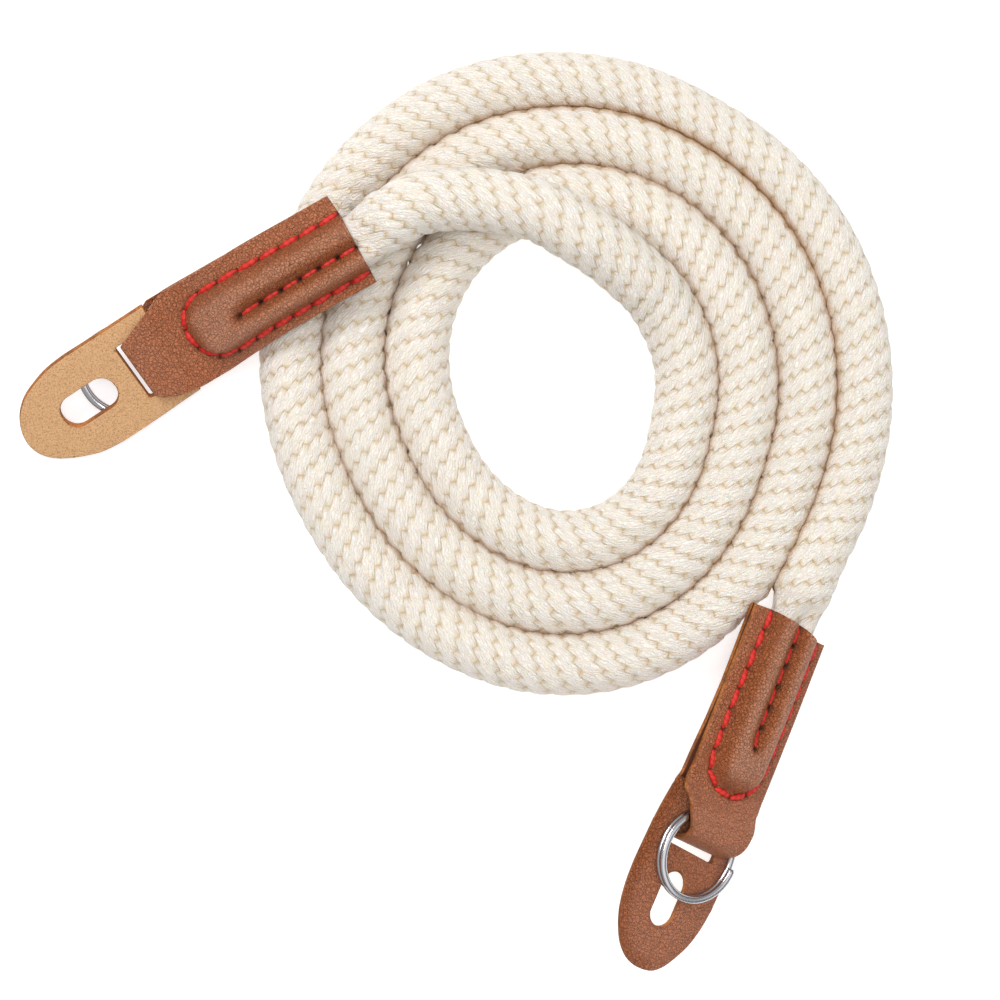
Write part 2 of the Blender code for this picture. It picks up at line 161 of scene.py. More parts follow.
def spline(points, count):
    """Curve through rows of numbers, evenly parted by length."""
    points = np.array(points, dtype=float)
    knots = reaches(points)
    curve = curve_through(points, knots, np.linspace(0, knots[-1], count * 4))
    length = reaches(curve)
    even = np.linspace(0, length[-1], count)
    return np.stack([np.interp(even, length, column) for column in curve.T], axis=1)


def loop_length():
    """From the loop's start to its fold: the tab's bar and the leather round it."""
    size = sizes()
    return 2 * size.leather_thickness + SEAT_GAP + size.tab_bar


def loop_start(letter):
    """Distance past the mouth of the loop's start, after the pocket and the flat neck."""
    return POCKET_LENGTH + ENDS[letter]["flat"] * sizes().strip_width


def fold_place(letter):
    """Distance past the mouth of the fold, at the loop's far end."""
    return loop_start(letter) + loop_length()


def levels():
    """Heights of the tab and the ring above an end's middle line, centred in the loop's hollow."""
    size = sizes()
    stack = 2 * size.wire_height + size.wire_gap
    ring = size.tab_thickness / 2 + SEAT_GAP + stack / 2
    top = ring + stack / 2 + SEAT_GAP
    bottom = -size.tab_thickness / 2 - SEAT_GAP
    tab = -(top + bottom) / 2
    return tab, tab + ring


def spine_height(letter, along):
    """Height and slope of an end's middle line at a distance from its mouth."""
    size = sizes()
    span = loop_start(letter)
    pillow_height = POCKET_HEIGHT + size.leather_thickness
    turn_height = size.rope_diameter + SEAT_GAP
    knots = [
        (share * span, turns * turn_height + pillow_height + lift * size.strip_width, slope)
        for share, turns, lift, slope in SPINES[letter]
    ]
    for near, height, slope in (knots[0], knots[-1]):
        if (along - near) * (1 if near else -1) >= 0:
            return height + (along - near) * slope, slope
    before, after = next(pair for pair in zip(knots, knots[1:]) if along <= pair[1][0])
    reach = after[0] - before[0]
    t = (along - before[0]) / reach
    lead, trail = before[2] * reach, after[2] * reach
    height = ((2 * t**3 - 3 * t**2 + 1) * before[1] + (t**3 - 2 * t**2 + t) * lead
              + (3 * t**2 - 2 * t**3) * after[1] + (t**3 - t**2) * trail)
    slope = ((6 * t**2 - 6 * t) * before[1] + (3 * t**2 - 4 * t + 1) * lead
             + (6 * t - 6 * t**2) * after[1] + (3 * t**2 - 2 * t) * trail) / reach
    return height, slope


def end_axes(letter, along):
    """Point on an end's middle line with the directions along, across and up."""
    end = ENDS[letter]
    span = loop_start(letter)
    knee = span - TURN_REACH
    height, slope = spine_height(letter, along)
    first = math.radians(end["heading"])
    last = first + math.radians(end["neck_turn"])
    before, beyond = min(along, knee), max(along - knee, 0.0)
    origin = Vector((
        COIL_CENTRE[0] + end["mouth"][0] * COIL_RADIUS + before * math.cos(first) + beyond * math.cos(last),
        COIL_CENTRE[1] + end["mouth"][1] * COIL_RADIUS + before * math.sin(first) + beyond * math.sin(last),
        height,
    ))
    turned = min(max((along - knee + TURN_REACH) / (2 * TURN_REACH), 0.0), 1.0)
    heading = first + turned * (last - first)
    forward = Vector((math.cos(heading), math.sin(heading), slope)).normalized()
    side = Vector((-math.sin(heading), math.cos(heading), 0.0))
    upright = forward.cross(side)
    rolled = min(max(along / span, 0.0), 1.0)
    roll = math.radians(end["mouth_roll"] + rolled * (end["neck_roll"] - end["mouth_roll"]))
    across = (side * math.cos(roll) - upright * math.sin(roll)) * end["side"]
    up = (side * math.sin(roll) + upright * math.cos(roll)) * end["side"]
    return origin, forward, across, up


def place(letter, along, across, up):
    """World point by its distances along an end, across it and above its middle line."""
    origin, _, side_axis, up_axis = end_axes(letter, along)
    return origin + side_axis * across + up_axis * up


def place_rows(letter, along, across, up):
    """World points for arrays with one row per distance along an end."""
    points = np.empty((*across.shape, 3))
    for i, row_along in enumerate(along):
        frames = [end_axes(letter, a) for a in np.atleast_1d(row_along)]
        origin = np.array([f[0] for f in frames])
        side_axis = np.array([f[2] for f in frames])
        up_axis = np.array([f[3] for f in frames])
        points[i] = origin + side_axis * across[i][:, None] + up_axis * up[i][:, None]
    return points


def fold_matrix(letter):
    """Frame at the fold, in which the tab and the ring lie flat."""
    origin, forward, across, up = end_axes(letter, fold_place(letter))
    return Matrix((
        (forward.x, across.x, up.x, origin.x),
        (forward.y, across.y, up.y, origin.y),
        (forward.z, across.z, up.z, origin.z),
        (0, 0, 0, 1),
    ))


def new_mesh(name, makers, points=(), faces=(), kinds=None):
    """Mesh of points and faces, with its materials and the number of the one on each face."""
    mesh = bpy.data.meshes.new(name)
    mesh.from_pydata([tuple(point) for point in points], [], [tuple(face) for face in faces])
    for maker in makers:
        mesh.materials.append(bpy.data.materials.get(maker.__name__) or maker())
    if kinds is not None:
        mesh.polygons.foreach_set("material_index", np.array(kinds, dtype=np.int32))
    return mesh


def add_piece(mesh, replaces=()):
    """Make one object of a mesh, smooth, riding on the strap's body."""
    mesh.shade_smooth()
    mesh.update()
    piece = bpy.data.objects.new(mesh.name, mesh)
    bpy.context.scene.collection.objects.link(piece)
    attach(piece, "root")
    if replaces:
        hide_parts(*replaces)
    return piece


def tube_faces(rings, sides, start=0):
    """Faces of a tube of rings, with its two ends filled."""
    faces = []
    for i in range(rings - 1):
        low, high = start + i * sides, start + (i + 1) * sides
        for j in range(sides):
            k = (j + 1) % sides
            faces.append((low + j, low + k, high + k, high + j))
    faces.append(tuple(start + j for j in reversed(range(sides))))
    faces.append(tuple(start + (rings - 1) * sides + j for j in range(sides)))
    return faces


# Materials

def add(tree, kind, inputs=(), **settings):
    """Add a node. Each input takes a value, another node's socket, or the first socket of a node."""
    node = tree.nodes.new("ShaderNode" + kind)
    for name, value in settings.items():
        setattr(node, name, value)
    for name, value in inputs.items() if isinstance(inputs, dict) else enumerate(inputs):
        if isinstance(value, bpy.types.Node):
            value = next(socket for socket in value.outputs if socket.enabled)
        if isinstance(value, bpy.types.NodeSocket):
            tree.links.new(value, node.inputs[name])
        else:
            node.inputs[name].default_value = value
    return node


def new_material(name):
    """Material with an empty tree."""
    material = bpy.data.materials.new(name)
    material.use_nodes = True
    material.node_tree.nodes.clear()
    return material, material.node_tree


def finish_material(tree, inputs):
    """Give a material its surface."""
    shader = add(tree, "BsdfPrincipled", inputs)
    add(tree, "OutputMaterial", {"Surface": shader})


def braided_cotton():
    """Undyed cotton braid. Its soft yarns give a matte, warm white with tan shadows between the
    slanted stitches, which step round the rope in helical rows."""
    size, finish = sizes(), finishes()
    material, tree = new_material("braided_cotton")
    uv = add(tree, "UVMap", uv_map="weave")
    rows_along, around, _ = add(tree, "SeparateXYZ", [uv]).outputs
    wander = add(tree, "TexNoise", {"Vector": uv, "Scale": 0.9, "Detail": 2.0})
    drift = add(tree, "Math", [wander, 0.30, -0.15], operation="MULTIPLY_ADD")
    row = add(tree, "Math", [around, size.row_starts, rows_along], operation="MULTIPLY_ADD")
    row = add(tree, "Math", [row, drift], operation="ADD")
    lean = add(tree, "Math", [rows_along, size.bundle_lean, drift], operation="MULTIPLY_ADD")
    bundle = add(tree, "Math", [around, size.bundles, lean], operation="MULTIPLY_ADD")
    turn = add(tree, "Math", [bundle, TURN], operation="MULTIPLY")
    wave = add(tree, "Math", [turn], operation="SINE")
    skewed = add(tree, "Math", [wave, size.step_skew, turn], operation="MULTIPLY_ADD")
    step = add(tree, "Math", [skewed], operation="SINE")
    stepped = add(tree, "Math", [step, size.step_share, row], operation="MULTIPLY_ADD")
    phase = add(tree, "Math", [stepped], operation="FRACT")
    # Profile across a row: a narrow valley at its edge, then a round crown
    row_shape = add(tree, "FloatCurve", {"Value": phase})
    curve = row_shape.mapping.curves[0]
    for across, height in ((0.09, 0.60), (0.30, 0.95), (0.62, 0.98), (0.90, 0.62)):
        curve.points.new(across, height)
    curve.points[0].location = (0.0, 0.0)
    curve.points[-1].location = (1.0, 0.02)
    row_shape.mapping.update()
    # Creases where one stitch of a row meets the next, deepest at each stitch's end
    half_turn = add(tree, "Math", [bundle, TURN / 2, TURN / 8], operation="MULTIPLY_ADD")
    crease = add(tree, "Math", [half_turn], operation="SINE")
    crease = add(tree, "Math", [crease], operation="ABSOLUTE")
    crease = add(tree, "Math", [crease, 0.45], operation="POWER")
    stitch = add(tree, "Math", [crease, 0.30, row_shape], operation="MULTIPLY_ADD")
    # Yarns laid slantwise in each stitch, about 0.65 mm apart, that wander, and fibres drawn out
    # along them, about 0.3 mm apart: coarser than the real ones, so that they show
    circumference = size.rope_diameter * math.pi
    flat = add(tree, "Mapping", {"Vector": uv, "Scale": (size.row_spacing / MM, circumference / MM, 1.0)})
    bend = add(tree, "TexNoise", {"Vector": flat, "Scale": 0.9, "Detail": 3.0})
    yarn = add(tree, "Math", [rows_along, 4.5], operation="MULTIPLY")
    yarn = add(tree, "Math", [around, 56.0, yarn], operation="MULTIPLY_ADD")
    yarn = add(tree, "Math", [bend, 3.0, yarn], operation="MULTIPLY_ADD")
    ridge = add(tree, "Math", [yarn, TURN], operation="MULTIPLY")
    ridge = add(tree, "Math", [ridge], operation="SINE")
    drawn = add(tree, "Math", [rows_along, 1.9], operation="MULTIPLY")
    drawn = add(tree, "Math", [around, -11.0, drawn], operation="MULTIPLY_ADD")
    strands = add(tree, "CombineXYZ", [yarn, drawn])
    strands = add(tree, "TexNoise", {"Vector": strands, "Scale": 1.9, "Detail": 4.0, "Roughness": 0.7})
    fibre = add(tree, "Math", [ridge, 0.24, strands], operation="MULTIPLY_ADD")
    relief = add(tree, "Math", [fibre, 0.85, stitch], operation="MULTIPLY_ADD")
    bump = add(tree, "Bump", {"Height": relief, "Strength": 1.0, "Distance": 0.40 * MM})
    # Patches of warmer cotton; painted shade in the grooves between the yarns, mixed with streaks along the
    # fibres; painted tan shade between the stitches
    blotch = add(tree, "TexNoise", {"Vector": flat, "Scale": 0.35, "Detail": 4.0})
    blotch = add(tree, "MapRange", {"Value": blotch, "From Min": 0.3, "From Max": 0.7})
    tone = add(tree, "MapRange", {"Value": fibre, "From Min": 0.12, "From Max": 0.58})
    frayed = add(tree, "Math", [strands, 0.6, stitch], operation="MULTIPLY_ADD")
    shade = add(tree, "MapRange", {"Value": frayed, "From Min": 0.62, "From Max": 1.36})
    colour = finish.cotton
    for cover, under in ((blotch, finish.cotton_warm), (tone, finish.cotton_dim),
                         (shade, finish.cotton_shadow)):
        colour = add(tree, "Mix", {"Factor": cover, "A": under, "B": colour}, data_type="RGBA")
    # Painted shade: warm brown where two turns lie close together, strongest where they touch
    pressed = add(tree, "SeparateColor", [add(tree, "VertexColor", layer_name="pressed")])
    colour = add(tree, "Mix", {"Factor": pressed, "A": colour, "B": finish.cotton_deep}, data_type="RGBA")
    finish_material(tree, {
        "Base Color": colour, "Normal": bump, "Roughness": 0.92, "Specular IOR Level": 0.15,
        "Sheen Weight": 0.1, "Sheen Roughness": 0.6,
        "Subsurface Weight": 0.4, "Subsurface Radius": (1.0, 0.8, 0.55), "Subsurface Scale": 1.8 * MM,
    })
    return material


def vegetable_tanned_grain():
    """Vegetable-tanned cowhide, grain side, milled to a fine pebble. It gives a satin brown with
    creases that catch the light, paler where it is stretched over the rope."""
    finish = finishes()
    material, tree = new_material("vegetable_tanned_grain")
    spot = add(tree, "TexCoord").outputs["Object"]
    # Painted light from the mesh: shade at needle holes and seams in red, a highlight on the crests in green,
    # shade on the flanks in blue (on the tabs, darker edges)
    painted_light_and_marks = add(tree, "VertexColor", layer_name="painted_light_and_marks")
    seam_shade_mark, crest_highlight, flank_shade_and_rim_mark = add(tree, "SeparateColor", [painted_light_and_marks]).outputs
    warp = add(tree, "TexNoise", {"Vector": spot, "Scale": 260.0, "Detail": 2.0}).outputs["Color"]
    warp = add(tree, "VectorMath", [warp, (0.0011,) * 3], operation="MULTIPLY")
    bent = add(tree, "VectorMath", [spot, warp], operation="ADD")
    # Pebbles about 0.7 mm across, pores about 0.3 mm apart, coarser than real ones so that they show,
    # and creases a millimetre or more apart that run together
    pebble = add(tree, "TexVoronoi", {"Vector": bent, "Scale": 1500.0}, feature="DISTANCE_TO_EDGE")
    pebble = add(tree, "MapRange", {"Value": pebble, "From Max": 0.11}, interpolation_type="SMOOTHSTEP")
    pores = add(tree, "TexNoise", {"Vector": spot, "Scale": 3300.0, "Detail": 4.0, "Roughness": 0.7})
    crease = add(tree, "TexVoronoi", {"Vector": bent, "Scale": 800.0}, feature="DISTANCE_TO_EDGE")
    crease = add(tree, "MapRange", {"Value": crease, "From Max": 0.09, "To Min": 0.3},
                 interpolation_type="SMOOTHSTEP")
    height = add(tree, "Math", [pores, 1.8, pebble], operation="MULTIPLY_ADD")
    height = add(tree, "Math", [crease, 1.1, height], operation="MULTIPLY_ADD")
    bump = add(tree, "Bump", {"Height": height, "Strength": 1.0, "Distance": 0.22 * MM})
    cloud = add(tree, "TexNoise", {"Vector": spot, "Scale": 120.0, "Detail": 5.0, "Roughness": 0.6})
    cloud = add(tree, "MapRange", {"Value": cloud, "From Min": 0.3, "From Max": 0.7})
    # Painted highlight on the crests stretched over the rope, with random paler patches; painted shade on the
    # flanks beside the seams, and on the tabs darker near the edges; darker in the creases; painted shade at
    # the needle holes and along the seams
    highlight_and_patches = add(tree, "Math", [cloud, 0.35, crest_highlight], operation="MULTIPLY_ADD", use_clamp=True)
    low = add(tree, "Math", [pebble, crease], operation="MULTIPLY")
    low = add(tree, "Math", [pores, 3.2, low], operation="MULTIPLY_ADD")
    low = add(tree, "MapRange", {"Value": low, "From Min": 1.2, "From Max": 2.65, "To Min": 0.6,
                                 "To Max": 0.0})
    colour = finish.leather
    for cover, over in ((highlight_and_patches, finish.leather_pale), (flank_shade_and_rim_mark, finish.leather_oiled),
                        (low, finish.leather_dark), (seam_shade_mark, finish.leather_dark)):
        colour = add(tree, "Mix", {"Factor": cover, "A": colour, "B": over}, data_type="RGBA")
    rough = add(tree, "MapRange", {"Value": cloud, "To Min": 0.38, "To Max": 0.50})
    finish_material(tree, {"Base Color": colour, "Normal": bump, "Roughness": rough,
                           "Specular IOR Level": 0.5})
    return material


def suede_flesh_side():
    """The hide's flesh side, left as suede. Short fibres give a dry, speckled tan."""
    finish = finishes()
    material, tree = new_material("suede_flesh_side")
    spot = add(tree, "TexCoord").outputs["Object"]
    # Fibres 0.2 mm across in tufts of 0.3 mm: the real nap is finer, but wouldn't show
    nap = add(tree, "TexNoise", {"Vector": spot, "Scale": 6000.0, "Detail": 4.0, "Roughness": 0.75})
    cloud = add(tree, "TexNoise", {"Vector": spot, "Scale": 3300.0, "Detail": 3.0})
    both = add(tree, "Math", [nap, cloud], operation="ADD")
    speck = add(tree, "MapRange", {"Value": both, "From Min": 0.74, "From Max": 1.06})
    colour = add(tree, "Mix", {"Factor": speck, "A": finish.suede_dark, "B": finish.suede}, data_type="RGBA")
    bump = add(tree, "Bump", {"Height": both, "Strength": 0.8, "Distance": 0.22 * MM})
    finish_material(tree, {"Base Color": colour, "Normal": bump, "Roughness": 0.95,
                           "Specular IOR Level": 0.15, "Sheen Weight": 0.2})
    return material


def cut_leather_edge():
    """Knife-cut edge of the hide. It shows packed fibres, darker than the grain."""
    finish = finishes()
    material, tree = new_material("cut_leather_edge")
    spot = add(tree, "TexCoord").outputs["Object"]
    # Bundles of fibres about 0.6 mm across, coarser than real ones so that they show, and 4 mm patches
    fibres = add(tree, "TexNoise", {"Vector": spot, "Scale": 1800.0, "Detail": 3.0})
    patch = add(tree, "TexNoise", {"Vector": spot, "Scale": 250.0, "Detail": 2.0})
    mixed = add(tree, "Math", [fibres, patch], operation="MULTIPLY")
    tone = add(tree, "MapRange", {"Value": mixed, "From Min": 0.15, "From Max": 0.35})
    colour = add(tree, "Mix", {"Factor": tone, "A": finish.edge_dark, "B": finish.edge}, data_type="RGBA")
    bump = add(tree, "Bump", {"Height": mixed, "Strength": 0.7, "Distance": 0.15 * MM})
    # A dark line where the two layers meet
    painted_light_and_marks = add(tree, "VertexColor", layer_name="painted_light_and_marks")
    parting = add(tree, "SeparateColor", [painted_light_and_marks]).outputs["Blue"]
    parting = add(tree, "Math", [parting, 7.0], operation="POWER")
    colour = add(tree, "Mix", {"Factor": parting, "A": colour, "B": finish.leather_dark}, data_type="RGBA")
    finish_material(tree, {"Base Color": colour, "Normal": bump, "Roughness": 0.8, "Specular IOR Level": 0.3})
    return material


def waxed_thread():
    """Waxed polyester sewing thread, two plies twisted. It gives a clear red with small ridges."""
    finish = finishes()
    material, tree = new_material("waxed_thread")
    lengthwise, around, _ = add(tree, "SeparateXYZ", [add(tree, "UVMap", uv_map="weave")]).outputs
    # A ply crosses every 1.3 mm, about the thread's own thickness
    twist = add(tree, "Math", [lengthwise, 3.5, around], operation="MULTIPLY_ADD")
    twist = add(tree, "Math", [twist, TURN], operation="MULTIPLY")
    twist = add(tree, "Math", [twist], operation="SINE")
    bump = add(tree, "Bump", {"Height": twist, "Strength": 0.35, "Distance": 0.07 * MM})
    # Painted shade in the grooves between the plies
    tone = add(tree, "MapRange", {"Value": twist, "From Min": -2.2, "From Max": 0.3})
    colour = add(tree, "Mix", {"Factor": tone, "A": finish.thread_dark, "B": finish.thread}, data_type="RGBA")
    finish_material(tree, {"Base Color": colour, "Normal": bump, "Roughness": 0.55,
                           "Specular IOR Level": 0.4})
    return material


def polished_spring_steel():
    """Nickel-plated spring steel wire, drawn flat and tumbled. It mirrors softly, with faint
    drawing lines."""
    material, tree = new_material("polished_spring_steel")
    # Lines about 0.1 mm apart round the wire, coarser than real ones so that they show
    lines = add(tree, "Mapping", {"Vector": add(tree, "UVMap", uv_map="weave"), "Scale": (3.0, 60.0, 1.0)})
    drawn = add(tree, "TexNoise", {"Vector": lines, "Scale": 1.0, "Detail": 3.0})
    rough = add(tree, "MapRange", {"Value": drawn, "To Min": 0.12, "To Max": 0.30})
    bump = add(tree, "Bump", {"Height": drawn, "Strength": 0.15, "Distance": 0.02 * MM})
    finish_material(tree, {"Base Color": finishes().steel, "Metallic": 1.0, "Roughness": rough,
                           "Normal": bump})
    return material


def lit_table():
    """White table, lit from below, on which the strap lies. It gives a plain, nearly shadowless floor."""
    material, tree = new_material("lit_table")
    finish_material(tree, {"Base Color": finishes().floor, "Roughness": 0.9, "Specular IOR Level": 0.1,
                           "Emission Color": (1, 1, 1, 1), "Emission Strength": 0.62})
    return material


# The leather's sides and its cut, in the order of their numbers on a mesh
LEATHER = {"grain": vegetable_tanned_grain, "flesh": suede_flesh_side, "edge": cut_leather_edge}


# Rope

RELIEF_SINK = 0.15 * MM        # from the rope's even radius down to the depths between the stitches
LOBE_PLAY = 0.2 * MM           # between the flattened rope and the leather
LOBE_MARGIN = 0.8 * MM         # from the flattened rope's lobes to the U seam
PRESS_REACH = 0.9 * MM         # gap between two turns that is closed by pressing them together


def coil_radius(bearing):
    """Radius of the coil's middle line, winding inwards with the bearing."""
    position = (bearing + TURN_SHAPE_STEP) / TURN_SHAPE_STEP
    first = math.floor(position)
    rows = len(TURN_SHAPE)
    pitch = sizes().rope_diameter + TURN_GAP
    before, start, end, after = [
        TURN_SHAPE[row % rows] * COIL_RADIUS - (row // rows) * pitch for row in range(first - 1, first + 3)
    ]
    t = position - first
    return 0.5 * (2 * start + (end - before) * t + (2 * before - 5 * start + 4 * end - after) * t ** 2
                  + (3 * start - before - 3 * end + after) * t ** 3)


def rope_route():
    """Points along the rope from inside end B, round the coil and over it to inside end A."""
    diameter = sizes().rope_diameter
    lift = diameter + SEAT_GAP
    entry = -(ROPE_END_TAPER + SEAT_GAP)
    inner = (ROPE_INSIDE, 0.7 * ROPE_INSIDE, 0.35 * ROPE_INSIDE, 0.0, entry, entry - ROPE_LEAD)
    route = [place("b", along, 0, 0) for along in inner]
    bearing = COIL_FIRST_BEARING
    while bearing <= COIL_LAST_BEARING:
        nudge = float(np.interp(bearing, *zip(*NUDGE))) * MM
        angle, radius = math.radians(bearing), coil_radius(bearing) + nudge
        route.append(Vector((COIL_CENTRE[0] + radius * math.cos(angle),
                             COIL_CENTRE[1] + radius * math.sin(angle), diameter / 2)))
        bearing += COIL_STEP
    for x, y, share in CROSSING:
        route.append(Vector((COIL_CENTRE[0] + x * COIL_RADIUS, COIL_CENTRE[1] + y * COIL_RADIUS,
                             diameter / 2 + share * lift)))
    return route + [place("a", along, 0, 0) for along in reversed(inner)]


def stitch_relief(rows_along, around):
    """Height of the braid from 0 to 1, from rows along the rope and turns round it."""
    size = sizes()
    turn = TURN * (size.bundles * around + size.bundle_lean * rows_along)
    step = np.sin(turn + size.step_skew * np.sin(turn))
    row = rows_along + size.row_starts * around + size.step_share * step
    phase = row - np.floor(row)
    row_shape = np.sin(np.pi * phase ** 0.9) ** 0.6
    crease = np.abs(np.sin(turn / 2 + TURN / 8)) ** 0.45
    return row_shape * (0.8 + 0.2 * crease)


def rope_axes(path, past_a, past_b):
    """Directions across and up at each ring, which roll with the leather near the ends."""
    tangent = np.gradient(path, axis=0)
    tangent /= np.linalg.norm(tangent, axis=1)[:, None]
    outward = np.cross(tangent, (0, 0, 1))
    outward /= np.linalg.norm(outward, axis=1)[:, None]
    upward = np.cross(outward, tangent)
    roll = np.zeros(len(path))
    for letter, past, sign in (("a", past_a, 1), ("b", past_b, -1)):
        end = ENDS[letter]
        inside = np.clip(past / loop_start(letter), 0, 1)
        turn = end["mouth_roll"] + inside * (end["neck_roll"] - end["mouth_roll"])
        roll += sign * np.radians(turn) * smooth(-3 * ROPE_END_TAPER, -ROPE_END_TAPER, past)
    cosine, sine = np.cos(roll)[:, None], np.sin(roll)[:, None]
    return outward * cosine + upward * sine, upward * cosine - outward * sine


def braid_radius(path, along, around, flat):
    """Radius of the braided rope at each ring and side, with shallower stitches where it is flat."""
    size = sizes()
    relief = stitch_relief(along[:, None] / size.row_spacing, around[None, :])
    bearing = np.degrees(np.arctan2(path[:, 1] - COIL_CENTRE[1], path[:, 0] - COIL_CENTRE[0]))
    girth = np.interp(np.unwrap(bearing, period=360), *zip(*GIRTH))[:, None]
    return (size.rope_diameter / 2 - RELIEF_SINK + size.relief_depth * (1 - 0.6 * flat) * relief) * girth


def pressed_section(past_a, past_b, angle):
    """Places across and up of the rope pressed flat: two lobes, parted deeper past the mouth, where
    the middle seam holds them."""
    past = np.maximum(past_a, past_b)
    share = np.abs(np.cos(angle))
    valley = (0.72 - 0.60 * smooth(-3 * MM, 1.5 * MM, past))[:, None]
    lobes = np.where(share > 0.5, np.sqrt(np.maximum(1 - (2 * share - 1) ** 2, 0)),
                     valley + (1 - valley) * np.sin(np.pi * np.minimum(share, 0.5)))
    up = ROPE_END_THICKNESS / 2 * lobes * np.sign(np.sin(angle)) * np.minimum(1, np.abs(np.sin(angle)) * 3)
    up -= LOBE_PLAY * np.sign(up)
    half = sizes().rope_end_width / 2
    reach = (half - LOBE_PLAY) / half * np.cos(angle)
    across = np.empty_like(up)
    for letter, here in (("a", past_a > past_b), ("b", past_a <= past_b)):
        inside = np.maximum(past[here], 0)
        plus, minus, middle = [
            seam_line(letter, seam, inside)[:, None] for seam in ("plus", "minus", "middle")
        ]
        plus -= SEAMS[letter]["inset"] * MM
        across[here] = middle + reach * (np.where(reach > 0, plus - middle, minus + middle) - LOBE_MARGIN)
    return across, up


def turn_gap(points, path, along, radius):
    """Distance from each point of the rope to the rope's nearest other turn."""
    far = 10 * MM
    gap = np.full(points.shape[:2], far)
    posts, post_along = path[::5], along[::5]
    for i in range(0, len(points), 40):
        part = points[i:i + 40]
        apart = np.linalg.norm(part[:, :, None, :] - posts, axis=-1) - radius
        same_turn = np.abs(along[i:i + 40, None, None] - post_along) < 30 * MM
        apart[np.broadcast_to(same_turn, apart.shape)] = far
        gap[i:i + 40] = apart.min(axis=-1)
    return gap


def tube_uv(mesh, lengthwise, sides, closed=True):
    """Lay out tubes: the first number along them, the second round them, closing at 1 and not at 0."""
    loops = np.empty(len(mesh.loops), dtype=np.int32)
    mesh.loops.foreach_get("vertex_index", loops)
    column = loops % sides
    uv = np.stack([np.asarray(lengthwise)[loops // sides], column / sides], axis=1)
    if closed:
        quads = (len(lengthwise) - 1) * sides
        last = np.arange(sides) == sides - 1
        uv[:quads * 4, 1] += ((column[:quads * 4].reshape(-1, sides, 4) == 0) & last[None, :, None]).ravel()
    mesh.uv_layers.new(name="weave").data.foreach_set("uv", uv.ravel())


def paint(mesh, layer, colours):
    """Give each point of a mesh its colour in a named layer."""
    mesh.color_attributes.new(layer, "FLOAT_COLOR", "POINT").data.foreach_set("color", colours.ravel())


class STRAP_OT_rope(bpy.types.Operator):
    """Braided rope along its whole route, with its flattened ends inside the leather"""
    bl_idname = "strap.rope"
    bl_label = "Rope"

    def execute(self, context):
        size = sizes()
        sides = size.rope_sides
        length = float(reaches(spline(rope_route(), 4000))[-1])
        rings = int(length / size.rope_ring_spacing)
        path = spline(rope_route(), rings)
        along = np.linspace(0, length, rings)
        around = np.arange(sides) / sides
        angle = around * TURN
        # Distance past each mouth, negative outside it
        past_b, past_a = ROPE_INSIDE - along, along - (length - ROPE_INSIDE)
        flat = smooth(-ROPE_END_TAPER, -1.5 * MM, np.maximum(past_a, past_b))[:, None]
        bare = braid_radius(path, along, around, flat)
        across, up = pressed_section(past_a, past_b, angle)
        across = (1 - flat) * bare * np.cos(angle) + flat * across
        up = (1 - flat) * bare * np.sin(angle) + flat * up
        wide, tall = rope_axes(path, past_a, past_b)
        points = path[:, None, :] + wide[:, None, :] * across[..., None] + tall[:, None, :] * up[..., None]
        # Turns that lie side by side press into each other
        gap = turn_gap(points, path, along, size.rope_diameter / 2)
        press = 0.5 * np.clip(gap, 0, PRESS_REACH) * (1 - smooth(PRESS_REACH, 1.6 * MM, gap))
        press *= np.cos(angle) * np.abs(np.cos(angle))
        points += wide[:, None, :] * press[..., None]
        points[..., 2] = np.maximum(points[..., 2], 0.0)
        mesh = new_mesh("rope_braid", [braided_cotton], points.reshape(-1, 3), tube_faces(rings, sides))
        rope = add_piece(mesh, ("rope", "rope_end_a", "rope_end_b"))
        tube_uv(mesh, along / size.row_spacing, sides)
        # Painted shade between neighbouring turns, in the red channel of the pressed layer
        pressed = np.zeros((rings * sides, 4))
        pressed[:, 0] = 0.92 * (1 - smooth(0.2 * MM, 2.4 * MM, gap)).ravel()
        paint(mesh, "pressed", pressed)
        return {"FINISHED"}


# Leather ends

# Section of the loop in millimetres, along from the fold and up: the strip's outer skin, from the upper
# layer round the fold to the far one, and its inner skin, row by row
LOOP_OUTER = (
    (-10.6, 2.00), (-9.65, 2.55), (-8.4, 3.30), (-7.2, 3.80), (-6.0, 3.92), (-4.0, 3.90), (-2.65, 3.75),
    (-1.5, 3.00), (-0.55, 1.30), (0.0, -0.50), (0.05, -1.60), (-0.10, -2.60), (-0.55, -3.50), (-1.4, -3.90),
    (-3.0, -3.95), (-5.0, -3.95), (-8.0, -3.85), (-9.4, -3.45), (-10.6, -2.75),
)
LOOP_INNER = (
    (-10.6, 0.62), (-9.9, 1.00), (-8.9, 1.75), (-8.0, 2.30), (-6.8, 2.50), (-4.6, 2.50), (-3.0, 2.50),
    (-2.2, 2.20), (-1.65, 1.10), (-1.4, -0.30), (-1.4, -1.10), (-1.4, -1.70), (-1.6, -2.30), (-2.1, -2.50),
    (-3.2, -2.55), (-5.0, -2.55), (-8.2, -2.50), (-9.4, -2.20), (-10.6, -1.37),
)
LOOP_LEAD = 3.4 * MM           # over which the two layers part before the loop
# How far each loop's fold is drawn back, in millimetres
TIP_BACK = {"a": 0.75, "b": 0.2}
